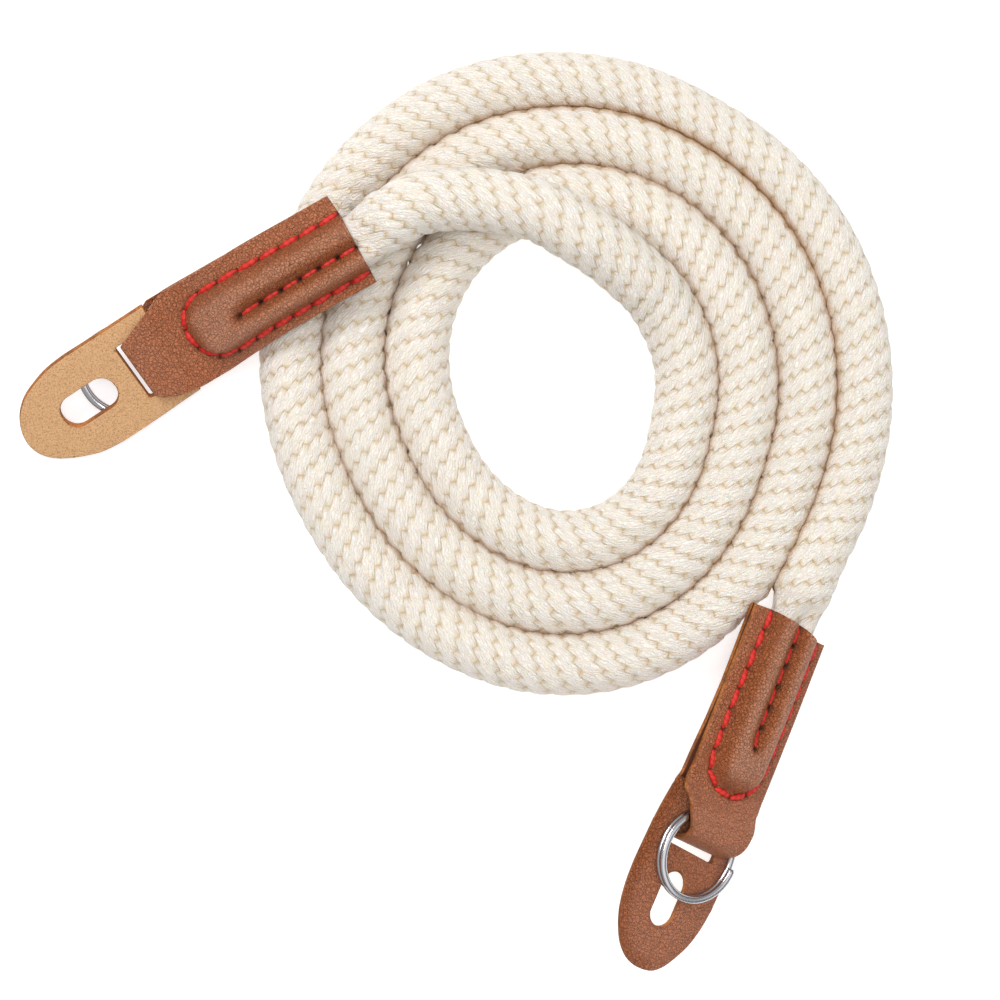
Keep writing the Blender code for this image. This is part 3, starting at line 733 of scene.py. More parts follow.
# Half widths in millimetres by distance past the fold, on each side of the middle line, of the
# strip's upper layer in the coil and of its far layer
HALF_WIDTHS = {
    "a+": ((-53, 10.05), (-40, 9.8), (-29, 9.8), (-24, 10.15), (-18, 10.5), (-15, 10.6), (-12.7, 10.2),
           (-9.7, 9.2), (-7.2, 8.4), (-4.0, 7.2), (-1.4, 6.3), (0.1, 5.9)),
    "a-": ((-53, 10.05), (-36, 10.2), (-24, 10.5), (-17, 10.7), (-14, 10.65), (-10.5, 10.2), (-9, 9.9),
           (-7, 9.45), (-4.5, 8.7), (-2.6, 7.6), (-1.4, 6.8), (0.1, 6.0)),
    "a+ far": ((-53, 10.05), (-29, 9.8), (-24, 10.1), (-17, 10.6), (-10.0, 10.8), (-8.6, 10.2), (-7.2, 9.4),
               (-5.0, 8.0), (-2.65, 6.9), (-1.4, 6.3), (0.1, 5.9)),
    "a- far": ((-24, 10.0), (-12.0, 10.0), (-9.0, 9.8), (-7.0, 9.4), (-4.5, 8.6), (-2.6, 7.5), (-1.4, 6.7),
               (0.1, 6.0)),
    "b+": ((-50, 9.5), (-41, 9.6), (-31, 9.7), (-21, 9.8), (-13.3, 9.8), (-9.3, 9.4), (-4.3, 8.7),
           (-2.7, 8.0), (-1.0, 7.2), (0.05, 6.5)),
    "b-": ((-50, 9.8), (-16.0, 10.3), (-12.5, 10.7), (-10, 10.4), (-7.7, 9.2), (-6.0, 8.3), (-4.3, 7.1),
           (-3.2, 6.4), (-1.4, 6.2), (0.1, 5.9)),
    "b+ far": ((-50, 9.4), (-13.0, 9.4), (-10.6, 9.3), (-8.4, 8.8), (-5.0, 7.8), (-2.65, 7.0), (-1.4, 6.7),
               (0.05, 6.5)),
    "b- far": ((-50, 10.0), (-34, 10.0), (-26, 10.4), (-19, 11.0), (-14, 11.3), (-11, 11.0), (-7.2, 8.6),
               (-4.0, 7.1), (-1.4, 6.3), (0.1, 5.9)),
}
# In millimetres, by distance past the mouth: the two long seams on each side of the middle line and
# the one between the rope's lobes. Then how far the middle seam reaches, where the long ones turn
# and how far their U bends from there, how much further in the plus lobe stops, and by distance
# across, how far past the mouth the leather is cut
SEAMS = {
    "a": {
        "plus": ((0, 5.75), (8, 5.45), (20, 5.5), (28, 5.95), (32.2, 6.25)),
        "minus": ((0, 7.55), (8, 7.75), (20, 7.9), (32.2, 7.85)),
        "middle": ((0, -2.0), (27, -2.15)),
        "reach": 26.0, "straight": 32.2, "bend": 7.0, "inset": 0.0,
        "mouth": ((-10, -0.55), (5, -0.55), (8, -0.25), (10, 0.0)),
    },
    "b": {
        "plus": ((0, 7.3), (8, 7.4), (20, 7.35), (31, 7.2)),
        "minus": ((0, 5.8), (5, 6.2), (10, 6.4), (20, 6.9), (31, 6.95)),
        "middle": ((0, 1.0), (20, 0.8), (27, 0.6)),
        "reach": 26.4, "straight": 31.0, "bend": 6.8, "inset": 0.5,
        "mouth": ((-10, -1.7), (-6, -1.9), (-3, -1.4), (1, -1.1), (3, -0.4), (5.5, 0.5), (9, 0.8)),
    },
}
SEAM_MARGIN = 0.3 * MM         # from the foot of a lobe to its seam
SEAM_GROOVE = 0.40 * MM        # depth of the groove that a seam pulls in, and its half width
SEAM_GROOVE_WIDTH = 0.60 * MM
NEEDLE_PIT = 0.22 * MM         # depth of the pit at a needle hole, and its radius
NEEDLE_PIT_RADIUS = 0.40 * MM
STITCH_PITCH = 4.55 * MM
EDGE_RADIUS = 0.35 * MM        # rounding of the strip's cut edges


def seam_line(letter, name, at):
    """A row of SEAMS in metres: a seam's distance from the middle line, or the cut of the mouth."""
    places, distances = np.array(SEAMS[letter][name]).T * MM
    return np.interp(at, places, distances)


def pillow(letter, along, across, margin, valley):
    """Swell from 0 to 1 of leather over the rope's two lobes, which stop at a margin from the seams."""
    seams = SEAMS[letter]
    straight, bend = seams["straight"] * MM - margin, seams["bend"] * MM - margin / 2 - LOBE_MARGIN
    size = np.sqrt(np.maximum(1 - (np.maximum(along - straight, 0) / bend) ** 2, 0))
    plus, minus = seam_line(letter, "plus", along) - seams["inset"] * MM, seam_line(letter, "minus", along)
    centre = (plus - minus) / 2
    middle = seam_line(letter, "middle", along)
    middle = centre + (middle - centre) * size
    foot = ((plus + minus) / 2 - margin) * np.maximum(size, 0.3)
    side = across > middle
    share = np.where(side, (across - middle) / (centre + foot - middle),
                     (middle - across) / (middle - centre + foot))
    valley = valley + (1 - valley) * smooth(23 * MM, 29 * MM, along)
    flank = np.maximum(1 - (2 * share - 1) ** 2, 0) ** 0.60
    hollow = valley + (1 - valley) * np.sin(np.pi * np.minimum(share, 0.5)) ** 0.8
    return size * np.where(share >= 1, 0, np.where(share > 0.5, flank, hollow))


def seam_distance(letter, along, across):
    """Distance to the nearest seam: the U or the middle line."""
    seams = SEAMS[letter]
    plus, minus = seam_line(letter, "plus", along), seam_line(letter, "minus", along)
    half = (plus + minus) / 2
    beyond = np.maximum(along - seams["straight"] * MM, 0) / (seams["bend"] * MM)
    outer = np.abs(np.sqrt(beyond ** 2 + ((across - (plus - minus) / 2) / half) ** 2) - 1) * half
    middle = np.hypot(across - seam_line(letter, "middle", along), np.maximum(along - seams["reach"] * MM, 0))
    return np.minimum(outer, middle)


def seam_paths(letter):
    """The U and the middle seam as rows of distances along and across."""
    seams = SEAMS[letter]
    straight, bend = seams["straight"] * MM, seams["bend"] * MM
    rows = np.linspace(seam_line(letter, "mouth", 8 * MM) + 0.1 * MM, straight, 40)
    plus, minus = seam_line(letter, "plus", rows), seam_line(letter, "minus", rows)
    turn = np.linspace(0, math.pi, 40)[1:-1]
    centre, half = (plus[-1] - minus[-1]) / 2, (plus[-1] + minus[-1]) / 2
    edge = [*zip(rows, plus), *zip(straight + bend * np.sin(turn), centre + half * np.cos(turn)),
            *zip(rows[::-1], -minus[::-1])]
    edge.append((seam_line(letter, "mouth", -7 * MM) + 0.1 * MM, -minus[0]))
    inner = np.linspace(seam_line(letter, "mouth", 0.0) + 0.1 * MM, seams["reach"] * MM, 40)
    return [np.array(edge), np.stack([inner, seam_line(letter, "middle", inner)], axis=1)]


def stitches(letter):
    """Start and end of each stitch along the seams, evenly shared."""
    found = []
    for path in seam_paths(letter):
        length = reaches(path)
        ends = np.linspace(0, length[-1], round(length[-1] / STITCH_PITCH) + 1)
        found.append(np.stack([np.interp(ends, length, column) for column in path.T], axis=1))
    return found


def rise(letter, along, face):
    """How far the leather spreads from the middle line towards the loop."""
    start = loop_start(letter)
    return (0.60 if face > 0 else 1.35) * MM * smooth(start - LOOP_LEAD, start, along)


def half_width(letter, along, columns, face):
    """Half width of the strip's layer at each row and column, narrowing towards the fold."""
    ahead = np.asarray(along) - fold_place(letter)
    near = np.asarray(face) == ENDS[letter]["side"]
    sides = []
    for sign in "+-":
        here, far = [np.array(HALF_WIDTHS[letter + sign + layer]).T * MM for layer in ("", " far")]
        sides.append(np.where(near, np.interp(ahead, *here), np.interp(ahead, *far)))
    return np.where(columns[None, :] > 0, sides[0][:, None], sides[1][:, None])


def leather_top(letter, along, across, face):
    """Height of the leather's grain side over the pocket."""
    swell = POCKET_HEIGHT * pillow(letter, along, across, SEAM_MARGIN, 0.34)
    groove = SEAM_GROOVE * np.exp(-(seam_distance(letter, along, across) / SEAM_GROOVE_WIDTH) ** 2)
    holes = np.concatenate(stitches(letter))
    near = np.min(np.hypot(np.asarray(along)[..., None] - holes[:, 0],
                           (np.asarray(across)[..., None] - holes[:, 1]) * 1.3), axis=-1)
    pit = NEEDLE_PIT * np.exp(-(near / NEEDLE_PIT_RADIUS) ** 2)
    return sizes().leather_thickness + swell + rise(letter, along, face) - groove - pit


def end_wear(letter, along, across):
    """Painted light on the grain: shade at the needle holes and along the seams in red, a highlight where the
    leather is stretched over the rope in green, and shade on the flanks beside it in blue."""
    holes = np.concatenate(stitches(letter))
    away = np.min(np.hypot(along[..., None] - holes[:, 0], across[..., None] - holes[:, 1]), axis=-1)
    seam = np.exp(-(seam_distance(letter, along, across) / (0.5 * MM)) ** 2)
    middle = 1 + 0.4 * (np.abs(across - seam_line(letter, "middle", along)) < 2 * MM)
    seam_shade = np.clip(1.1 * np.exp(-(away / (0.42 * MM * middle)) ** 2) + 0.30 * seam, 0, 1)
    swell = pillow(letter, along, across, SEAM_MARGIN, 0.1)
    flank = 0.8 * smooth(0.0, 0.35, swell) * (1 - smooth(0.75, 0.98, swell))
    return np.stack([seam_shade, 0.8 * swell ** 5, flank, np.ones_like(swell)], axis=-1)


class STRAP_OT_leather_ends(bpy.types.Operator):
    """Folded leather ends, each one strip round the rope's end and through the tab and the ring"""
    bl_idname = "strap.leather_ends"
    bl_label = "Leather ends"

    def execute(self, context):
        for letter in ENDS:
            self.make_end(letter)
        return {"FINISHED"}

    def make_end(self, letter):
        """One strip with its outer and inner skin, along the pocket, round the loop and back."""
        fold, start = fold_place(letter), loop_start(letter)
        # Columns and rows of points, closer at the cut edges and at the mouth
        columns = np.concatenate([[-1, -0.99, -0.965], np.linspace(-0.94, 0.94, 57), [0.965, 0.99, 1]])
        inner_columns = 1 - np.abs(columns)[None, :]
        straight = np.linspace(0.4 * MM, start - 0.3 * MM, int(start / (0.42 * MM)))
        straight = np.concatenate([[0.0, 0.12 * MM], straight])
        near_mouth = (1 - smooth(0, 12 * MM, straight))[:, None]
        grid = straight[:, None] + near_mouth * seam_line(letter, "mouth", columns * 10 * MM)
        layers = []
        for face in (1, -1):
            half = half_width(letter, straight, columns, face)
            spread = half * columns[None, :]
            drop = np.maximum(edge_rounding(half * inner_columns), edge_rounding(straight)[:, None])
            height = leather_top(letter, grid, spread, face) - drop
            hollow = POCKET_HEIGHT * pillow(letter, grid, spread, SEAM_MARGIN + 0.2 * MM, 0.40)
            inner = np.minimum(np.maximum(hollow, 0.02 * MM) + rise(letter, grid, face), height - 0.2 * MM)
            layers.append((spread, height, inner))
        (spread, top, inner), (spread_below, below, inner_below) = layers

        loop_outer = spline(LOOP_OUTER, 64) * MM
        loop_inner = parted_alike(LOOP_OUTER, LOOP_INNER, 64) * MM
        for loop in (loop_outer, loop_inner):
            loop[:, 0] -= TIP_BACK[letter] * MM * smooth(-6 * MM, -1.5 * MM, loop[:, 0])
        face = np.where(np.arange(len(loop_outer)) < len(loop_outer) / 2, 1, -1)
        loop_half = half_width(letter, fold + loop_outer[:, 0], columns, face)
        loop_spread = loop_half * columns[None, :]
        centre = (loop_outer + loop_inner) / 2
        drop = edge_rounding(loop_half * inner_columns) / (sizes().leather_thickness / 2)
        loop_top = loop_outer[:, None, :] + (centre - loop_outer)[:, None, :] * drop[..., None]
        outer = np.concatenate([
            place_rows(letter, grid, spread, top),
            place_rows(letter, fold + loop_top[..., 0], loop_spread, loop_top[..., 1]),
            place_rows(letter, grid[::-1], spread_below[::-1], -below[::-1]),
        ])
        inside = np.concatenate([
            place_rows(letter, grid, spread, inner),
            place_rows(letter, fold + loop_inner[:, :1], loop_spread, loop_inner[:, 1:] + 0 * loop_spread),
            place_rows(letter, grid[::-1], spread_below[::-1], -inner_below[::-1]),
        ])

        rows, across = outer.shape[:2]
        faces, kinds = strip_faces(rows, across, "grain" if letter == "a" else "edge")
        points = np.concatenate([outer.reshape(-1, 3), inside.reshape(-1, 3)])
        mesh = new_mesh("leather_" + letter, LEATHER.values(), points, faces, kinds)
        add_piece(mesh, ("leather_end_" + letter,))
        mesh.set_sharp_from_angle(angle=math.radians(50))
        # The grain has its painted highlight and shade on both sides of the end, and the cut edges have a
        # blue line where the two layers meet
        marks = end_wear(letter, grid, spread)
        painted_light_and_marks = np.zeros((2 * rows, across, 4))
        painted_light_and_marks[..., 3] = 1
        painted_light_and_marks[rows:, :, 2] = 1
        painted_light_and_marks[:len(grid)] = marks
        painted_light_and_marks[rows - len(grid):rows] = marks[::-1]
        paint(mesh, "painted_light_and_marks", painted_light_and_marks)


def strip_faces(rows, across, border):
    """Faces of a strip with an outer and an inner skin, and the material of each. The flesh side's
    border, near its edges, has the look that is named."""
    looks = list(LEATHER)
    faces, kinds = [], []
    shift = rows * across
    for i in range(rows - 1):
        for j in range(across - 1):
            a, b, c, d = i * across + j, i * across + j + 1, (i + 1) * across + j + 1, (i + 1) * across + j
            faces.append((a, d, c, b))
            faces.append((shift + a, shift + b, shift + c, shift + d))
            kinds += ["grain", "flesh" if 5 < j < across - 6 else border]
        for j, order in ((0, 1), (across - 1, -1)):
            a, d = i * across + j, (i + 1) * across + j
            faces.append((a, shift + a, shift + d, d)[::order])
            kinds.append("edge")
    for i, order in ((0, 1), (rows - 1, -1)):
        for j in range(across - 1):
            a, b = i * across + j, i * across + j + 1
            faces.append((a, b, shift + b, shift + a)[::order])
            kinds.append("edge")
    return faces, [looks.index(kind) for kind in kinds]


def edge_rounding(distance):
    """How far the leather drops near its cut edge."""
    inside = np.clip(EDGE_RADIUS - distance, 0, EDGE_RADIUS)
    return EDGE_RADIUS - np.sqrt(np.maximum(EDGE_RADIUS ** 2 - inside ** 2, 0))


def parted_alike(first, second, count):
    """The second curve, parted where the first is parted evenly."""
    both = np.concatenate([np.array(first), np.array(second)], axis=1)
    knots = reaches(both[:, :2])
    return curve_through(both, knots, np.linspace(0, knots[-1], count))[:, 2:]


class STRAP_OT_stitching(bpy.types.Operator):
    """Red saddle stitches along the U seams and the middle seams, on both sides of the leather"""
    bl_idname = "strap.stitching"
    bl_label = "Stitching"

    def execute(self, context):
        rings, sides = 15, 12
        for letter in ENDS:
            points, lengthwise = [], []
            for face in (1, -1):
                for seam, reach, width in zip(stitches(letter), (0.485, 0.41), (1.03, 0.88)):
                    for start, end in zip(seam, seam[1:]):
                        share = np.linspace(-reach, reach, rings)
                        lengthwise += list(share + 0.5)
                        points += self.stitch(letter, face, start, end, share, reach, width, sides)
            faces = []
            for first in range(0, len(points), rings * sides):
                faces += tube_faces(rings, sides, start=first)
            mesh = new_mesh("stitching_" + letter, [waxed_thread], points, faces)
            add_piece(mesh)
            tube_uv(mesh, lengthwise, sides, closed=False)
        return {"FINISHED"}

    def stitch(self, letter, face, start, end, shares, reach, width, sides):
        """Points of one stitch, which arches over the leather between its two needle holes."""
        angle = np.arange(sides) / sides * TURN
        direction = (end - start) / np.linalg.norm(end - start)
        aside = np.array((-direction[1], direction[0]))
        points = []
        for share in shares:
            spot = start + (end - start) * (share + 0.5) + aside * share * 0.35 * MM * face
            lift = math.cos(share / reach * math.pi / 2)
            girth = sizes().thread_thickness / 2 * width * (0.34 + 0.66 * lift ** 0.7)
            height = leather_top(letter, spot[0], spot[1], face) + 0.46 * MM * lift ** 0.6 - 0.10 * MM
            section = spot[:, None] + aside[:, None] * girth * np.cos(angle)
            heights = height + 0.72 * girth * np.sin(angle)
            points += [place(letter, *section[:, k], face * heights[k]) for k in range(sides)]
        return points


# Tabs

# In millimetres past the fold and across: each tab's outline from one corner round its tongue to
# the other, and its slit and hole as near end, far end, left side, right side and corner radius
TABS = {
    "a": {
        "outline": (
            (-9.55, 10.6), (-5, 10.6), (0, 10.6), (6, 10.65), (12.3, 10.6), (15.7, 10.2), (19, 9.3),
            (22.3, 8.0), (24.9, 6.1), (26.7, 3.8), (27.7, 1.2), (27.9, -0.8), (27.2, -3.5), (25.2, -6.0),
            (22.3, -7.9), (19, -9.4), (15.7, -10.5), (12.3, -10.95), (7.3, -11.05), (0.7, -10.95),
            (-5, -10.75), (-9.5, -10.65),
        ),
        "slit": (-2.45, 0.35, -6.3, 6.3, 0.6), "hole": (5.0, 18.2, -3.6, 3.2, 3.3), "lean": 0.0,
    },
    "b": {
        "outline": (
            (-9.2, 10.6), (-4, 10.6), (2, 10.4), (8, 10.2), (12, 9.9), (16, 9.1), (19.3, 7.9), (22.7, 5.9),
            (25.3, 3.8), (26.7, 1.7), (27.1, -0.6), (27.0, -3.2), (26, -6.0), (24, -8.5), (21, -10.6),
            (17.7, -12.1), (13.3, -13.1), (8.7, -13.45), (2.7, -13.3), (-4, -12.85), (-9.3, -12.1),
            (-12.4, -11.5),
        ),
        "slit": (-1.9, 1.35, -7.2, 5.0, 0.6), "hole": (6.0, 17.8, -4.95, 1.2, 3.0), "lean": 0.05,
    },
}


def arc(centre, radius, start, finish, steps):
    """Points of an arc round a centre, from start to finish in degrees."""
    points = []
    for i in range(steps + 1):
        angle = math.radians(start + (finish - start) * i / steps)
        points.append((centre[0] + radius * math.cos(angle), centre[1] + radius * math.sin(angle)))
    return points


def rounded_slot(near, far, left, right, corner):
    """Outline of a slot with round corners."""
    near, far, left, right = near + corner, far - corner, left + corner, right - corner
    return (arc((far, right), corner, 0, 90, 12) + arc((near, right), corner, 90, 180, 12)
            + arc((near, left), corner, 180, 270, 12) + arc((far, left), corner, 270, 360, 12))


SAME_LEVEL = 0.001 * MM


class STRAP_OT_tabs(bpy.types.Operator):
    """Leather protector tabs, grain on one side and suede on the other, with slit and oblong hole"""
    bl_idname = "strap.tabs"
    bl_label = "Tabs"

    def execute(self, context):
        for letter in ENDS:
            bm = bmesh.new()
            outline = self.cut(bm, letter)
            self.handle(bm, outline)
            bm.transform(fold_matrix(letter) @ Matrix.Translation((0, 0, levels()[0])))
            mesh = new_mesh("tab_leather_" + letter, LEATHER.values())
            bm.to_mesh(mesh)
            bm.free()
            add_piece(mesh, ("tab_" + letter,))
            mesh.set_sharp_from_angle(angle=math.radians(30))
        return {"FINISHED"}

    def cut(self, bm, letter):
        """Cut a tab with its slit and hole, its faces in a grid of a millimetre, and soften its rims."""
        shape, thickness = TABS[letter], sizes().tab_thickness
        outline = spline(shape["outline"], 110) * MM
        slit, hole = [rounded_slot(*(value * MM for value in shape[name])) for name in ("slit", "hole")]
        slit = [(x + shape["lean"] * y, y) for x, y in slit]
        for loop in (outline, slit, hole):
            corners = [bm.verts.new((x, y, -thickness / 2)) for x, y in loop]
            for i, corner in enumerate(corners):
                bm.edges.new((corners[i - 1], corner))
        bmesh.ops.remove_doubles(bm, verts=bm.verts, dist=0.05 * MM)
        bmesh.ops.triangle_fill(bm, use_beauty=True, edges=bm.edges[:])
        for normal, cuts in (((1, 0, 0), range(-12, 28)), ((0, 1, 0), range(-13, 11))):
            for cut in cuts:
                bmesh.ops.bisect_plane(bm, geom=bm.verts[:] + bm.edges[:] + bm.faces[:], dist=0.02 * MM,
                                       plane_co=[cut * MM * share for share in normal], plane_no=normal)
        extruded = bmesh.ops.extrude_face_region(bm, geom=bm.faces[:], use_keep_orig=True)
        for item in extruded["geom"]:
            if isinstance(item, bmesh.types.BMVert):
                item.co.z += thickness
        # The cut leans a little, as the knife went in
        for corner in bm.verts:
            if corner.co.z * ENDS[letter]["side"] < 0:
                corner.co.y += 0.45 * MM
        bmesh.ops.recalc_face_normals(bm, faces=bm.faces)
        looks = list(LEATHER)
        for face in bm.faces:
            look = "grain" if face.normal.z > 0.5 else "flesh" if face.normal.z < -0.5 else "edge"
            face.material_index = looks.index(look)
        rims = [edge for edge in bm.edges if len(edge.link_faces) == 2 and edge.calc_face_angle(0) > 1.0
                and abs(edge.verts[0].co.z - edge.verts[1].co.z) < SAME_LEVEL]
        bmesh.ops.bevel(bm, geom=rims, offset=0.30 * MM, segments=3, profile=0.5, affect="EDGES", material=-1)
        return outline

    def handle(self, bm, outline):
        """Thin the tab's edge and make it darker near its outline, most along the side that hangs lowest."""
        painted_light_and_marks = bm.verts.layers.float_color.new("painted_light_and_marks")
        for corner in bm.verts:
            inside = float(np.min(np.hypot(outline[:, 0] - corner.co.x, outline[:, 1] - corner.co.y)))
            rim_darkening = (0.9 if corner.co.y < 0 else 0.3) * (1 - float(smooth(0.5 * MM, 4.0 * MM, inside)))
            corner[painted_light_and_marks] = (0, 0, rim_darkening, 1)
            corner.co.z -= math.copysign(0.25 * MM, corner.co.z) * (1 - float(smooth(0, 2.5 * MM, inside)))


# Split rings

# How each ring has slid in its loop, along and across in millimetres, and where it is split
RINGS = {"a": (-0.5, 0.9, 300.0), "b": (-1.6, -0.4, 120.0)}
# In degrees past the split: where the wire starts and ends, and its step from one turn to the next
WIRE_ENDS = (28.0, 692.0)
WIRE_STEP = (335.0, 385.0)


class STRAP_OT_rings(bpy.types.Operator):
    """Flat-wire split rings of two turns"""
    bl_idname = "strap.rings"
    bl_label = "Split rings"

    def execute(self, context):
        size = sizes()
        middle = (size.ring_diameter - size.wire_width) / 2
        bar_upper = -size.leather_thickness - SEAT_GAP - size.tab_bar
        first, last = WIRE_ENDS
        rings, sides = 400, 16
        angle = (np.arange(sides) + 0.5) / sides * TURN
        # Superellipse section: a flat wire with soft corners
        x = size.wire_width / 2 * np.sign(np.cos(angle)) * np.abs(np.cos(angle)) ** 0.75
        z = size.wire_height / 2 * np.sign(np.sin(angle)) * np.abs(np.sin(angle)) ** 0.85
        pitch = size.wire_height + size.wire_gap
        lower_turn = levels()[1] - pitch / 2
        for letter in ENDS:
            along, across, split = RINGS[letter]
            centre = bar_upper + size.ring_setback + size.ring_diameter / 2 + along * MM
            matrix = fold_matrix(letter) @ Matrix.Translation((centre, across * MM, 0))
            points = []
            for turn_angle in np.linspace(first, last, rings):
                bearing = math.radians(turn_angle + split)
                level = lower_turn + pitch * float(smooth(*WIRE_STEP, turn_angle))
                near_end = min(turn_angle - first, last - turn_angle)
                shrink = 1 - 0.35 * (1 - float(smooth(0.0, 3.0, near_end)))
                for k in range(sides):
                    reach = middle + x[k] * shrink
                    points.append(matrix @ Vector((reach * math.cos(bearing), reach * math.sin(bearing),
                                                   level + z[k] * shrink)))
            mesh = new_mesh("split_ring_" + letter, [polished_spring_steel], points, tube_faces(rings, sides))
            add_piece(mesh, ("ring_" + letter,))
            mesh.set_sharp_from_angle(angle=math.radians(60))
            tube_uv(mesh, np.linspace(0, 2, rings), sides)
        return {"FINISHED"}


# Stage

FLOOR_REACH = 3.0


class STRAP_OT_stage(bpy.types.Operator):
    """Pale floor, soft studio light and the photograph's camera"""
    bl_idname = "strap.stage"
    bl_label = "Stage"

    def execute(self, context):
        corners = [(x * FLOOR_REACH, y * FLOOR_REACH, 0) for x, y in ((-1, -1), (1, -1), (1, 1), (-1, 1))]
        floor = bpy.data.objects.new("floor", new_mesh("floor", [lit_table], corners, [(0, 1, 2, 3)]))
        # A hair under the strap, so no two surfaces lie in one plane
        floor.location.z = -0.2 * MM
        context.scene.collection.objects.link(floor)

        # Bright overhead and dark at the horizon, so the steel shows both
        world = bpy.data.worlds.new("soft_room")
        world.use_nodes = True
        tree = world.node_tree
        way = add(tree, "SeparateXYZ", [add(tree, "TexCoord").outputs["Generated"]])
        sky = add(tree, "MapRange", {"Value": way.outputs["Z"], "From Min": 0.10, "From Max": 0.55,
                                     "To Min": 0.10, "To Max": 0.56})
        background = tree.nodes["Background"]
        background.inputs["Color"].default_value = (1, 1, 1, 1)
        tree.links.new(sky.outputs[0], background.inputs["Strength"])
        context.scene.world = world
        for name, spot, width, power in (
            ("key_light", (-0.30, 0.50, 0.70), 0.35, 3.9),
            ("fill_light", (0.55, -0.40, 0.70), 0.8, 1.6),
            ("top_light", (0.05, 0.05, 0.95), 0.30, 2.4),
        ):
            light = bpy.data.lights.new(name, "AREA")
            light.size = width
            light.energy = power
            lamp = bpy.data.objects.new(name, light)
            lamp.location = spot
            lamp.rotation_euler = (-Vector(spot)).to_track_quat("-Z", "Y").to_euler()
            context.scene.collection.objects.link(lamp)

        view = bpy.data.cameras.new("photo_view")
        view.sensor_width = 36.0
        middle_distance = VIEW_HEIGHT - sizes().rope_diameter / 2
        view.lens = view.sensor_width * middle_distance / VIEW_WIDTH
        view.clip_start = 0.01
        camera = bpy.data.objects.new("photo_view", view)
        camera.location = (*VIEW_CENTRE, VIEW_HEIGHT)
        context.scene.collection.objects.link(camera)
        context.scene.camera = camera
        context.scene.view_settings.view_transform = "Standard"
        return {"FINISHED"}


# Sizes, finishes and the panel

def length_property(name, description, default):
    return bpy.props.FloatProperty(name=name, description=description, default=default, min=0.0,
                                   unit="LENGTH", precision=4)


def count_property(name, description, default):
    return bpy.props.IntProperty(name=name, description=description, default=default, min=1)


def share_property(name, description, default):
    return bpy.props.FloatProperty(name=name, description=description, default=default, precision=3)


def colour_property(name, description, text):
    return bpy.props.FloatVectorProperty(name=name, description=description, default=hex_colour(text),
                                         size=4, min=0.0, max=1.0, subtype="COLOR")


class StrapSizes(bpy.types.PropertyGroup):
    rope_diameter: length_property("Rope diameter", "Thickness of the braided rope", 11.9 * MM)
    rope_end_width: length_property("Rope end width", "Width of the rope pressed in the leather", 13.0 * MM)
    row_spacing: length_property("Row spacing", "Distance along the rope between rows of stitches", 4.35 * MM)
    relief_depth: length_property("Braid relief", "Depth of the rows of stitches", 0.62 * MM)
    rope_ring_spacing: length_property("Rope detail", "Between the rope's rings of points", 0.56 * MM)
    rope_sides: count_property("Rope sides", "Points round the rope", 48)
    row_starts: count_property("Row starts", "Rows that wind side by side", 4)
    bundles: count_property("Bundles", "Stitches round the rope", 18)
    bundle_lean: share_property("Bundle lean", "Stitches passed in one row", 1.1)
    step_share: share_property("Step", "How far a row steps at each stitch, as a share of its width", 0.13)
    step_skew: share_property("Step skew", "Sharpness of stitch ends", 0.6)
    leather_thickness: length_property("Leather thickness", "Thickness of the folded strip", 1.4 * MM)
    strip_width: length_property("Strip width", "Width of the leather ends", 20.0 * MM)
    thread_thickness: length_property("Thread thickness", "Width of the red thread", 1.35 * MM)
    tab_thickness: length_property("Tab thickness", "Thickness of the protector tabs", 1.8 * MM)
    tab_bar: length_property("Tab bar", "Leather between the slit and the tab's upper edge", 7.5 * MM)
    ring_diameter: length_property("Ring diameter", "Outer diameter of the split rings", 20.0 * MM)
    ring_setback: length_property("Ring setback", "From the tab's upper edge to the ring", 2.0 * MM)
    wire_width: length_property("Wire width", "Width of the ring's flat wire", 1.6 * MM)
    wire_height: length_property("Wire height", "Height of the ring's flat wire", 1.2 * MM)
    wire_gap: length_property("Wire gap", "Gap between the ring's turns", 0.05 * MM)


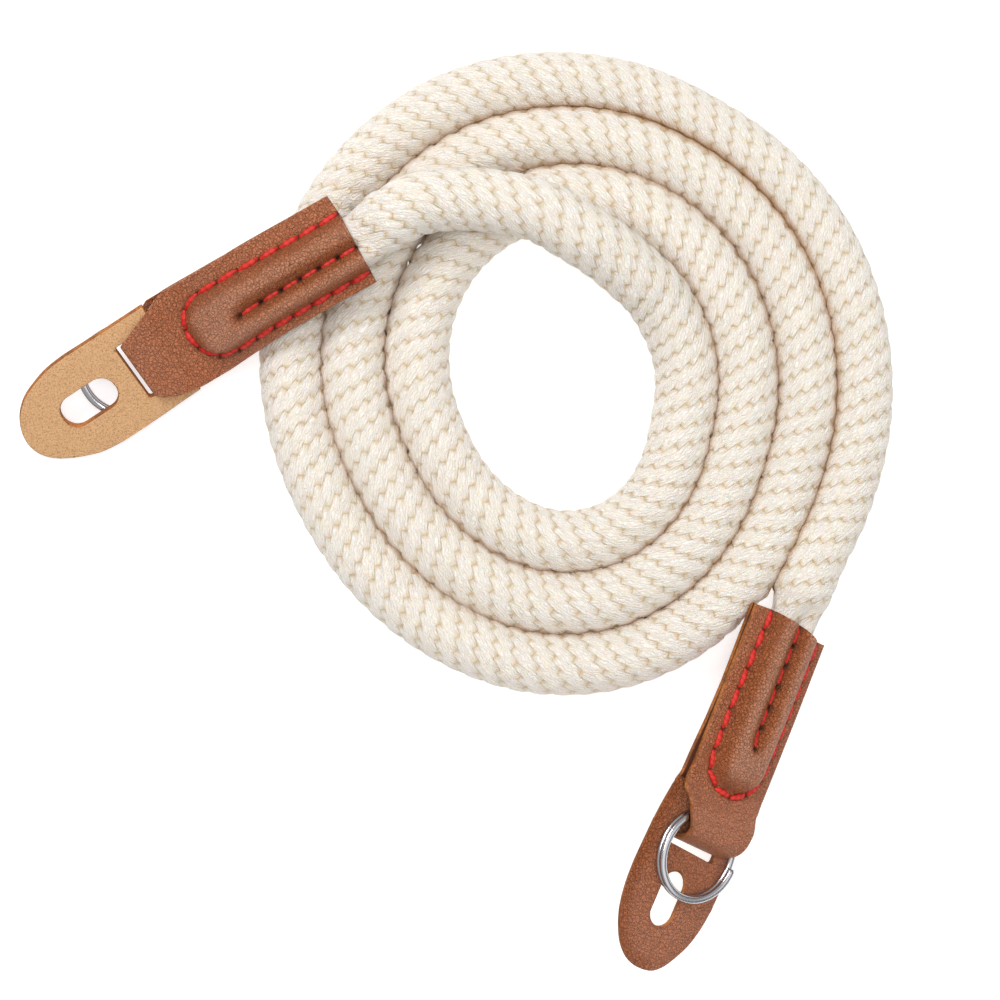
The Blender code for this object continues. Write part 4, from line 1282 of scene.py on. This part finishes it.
class StrapFinishes(bpy.types.PropertyGroup):
    cotton: colour_property("Cotton", "Crowns of the stitches", "#fff9f3")
    cotton_warm: colour_property("Warm cotton", "Warmer patches of the stitches", "#fcf2e7")
    # Painted shade between the yarns, which also colours the streaks along the fibres
    cotton_dim: colour_property("Dim cotton", "Between the yarns of a stitch", "#ecdeca")
    cotton_shadow: colour_property("Cotton shadow", "Depths between the stitches", "#dcc59c")
    # Painted shade in the crevices between neighbouring turns
    cotton_deep: colour_property("Deep cotton", "Depths between the turns", "#b27e3a")
    leather: colour_property("Leather", "Grain side of the leather", "#ca784d")
    # Painted highlight on the crests of the rope's lobes, also used for random paler patches
    leather_pale: colour_property("Pale leather", "Grain stretched or worn", "#d28d69")
    # Painted shade on the flanks beside the seams, also used for the darker edges of the tabs
    leather_oiled: colour_property("Oiled leather", "Grain in the hollows beside the seams", "#b05e2a")
    # Also painted shade at the needle holes and along the seams
    leather_dark: colour_property("Dark leather", "Creases and needle holes", "#522716")
    suede: colour_property("Suede", "Flesh side of the tabs", "#deb183")
    suede_dark: colour_property("Dark suede", "Specks of the flesh side", "#a97642")
    edge: colour_property("Cut edge", "Cut edges of the leather", "#ba7438")
    edge_dark: colour_property("Dark edge", "Dark fibres of the cut edges", "#7c4a28")
    thread: colour_property("Thread", "Red sewing thread", "#d92c20")
    # Painted shade between the thread's plies
    thread_dark: colour_property("Dark thread", "Between the thread's plies", "#8e1a16")
    steel: colour_property("Steel", "Split rings", "#c0c0c4")
    floor: colour_property("Floor", "Lit table under the strap", "#d2d2d2")


class STRAP_PT_panel(bpy.types.Panel):
    """Sizes, finishes and pieces of the strap"""
    bl_label = "Camera strap"
    bl_idname = "STRAP_PT_panel"
    bl_space_type = "VIEW_3D"
    bl_region_type = "UI"
    bl_category = "Strap"

    def draw(self, context):
        for operator in OPERATORS:
            self.layout.operator(operator.bl_idname)
        for group in (sizes(), finishes()):
            box = self.layout.box()
            for name in group.__annotations__:
                box.prop(group, name)


OPERATORS = (STRAP_OT_rope, STRAP_OT_leather_ends, STRAP_OT_stitching, STRAP_OT_tabs, STRAP_OT_rings,
             STRAP_OT_stage)
CLASSES = (StrapSizes, StrapFinishes, *OPERATORS, STRAP_PT_panel)


def register():
    for cls in CLASSES:
        bpy.utils.register_class(cls)
    bpy.types.Scene.strap_sizes = bpy.props.PointerProperty(type=StrapSizes)
    bpy.types.Scene.strap_finishes = bpy.props.PointerProperty(type=StrapFinishes)


def unregister():
    del bpy.types.Scene.strap_finishes
    del bpy.types.Scene.strap_sizes
    for cls in reversed(CLASSES):
        bpy.utils.unregister_class(cls)


def main():
    register()
    bpy.ops.strap.stage()
    bpy.ops.strap.rope()
    bpy.ops.strap.leather_ends()
    bpy.ops.strap.stitching()
    bpy.ops.strap.tabs()
    bpy.ops.strap.rings()


if __name__ == "__main__":
    main()
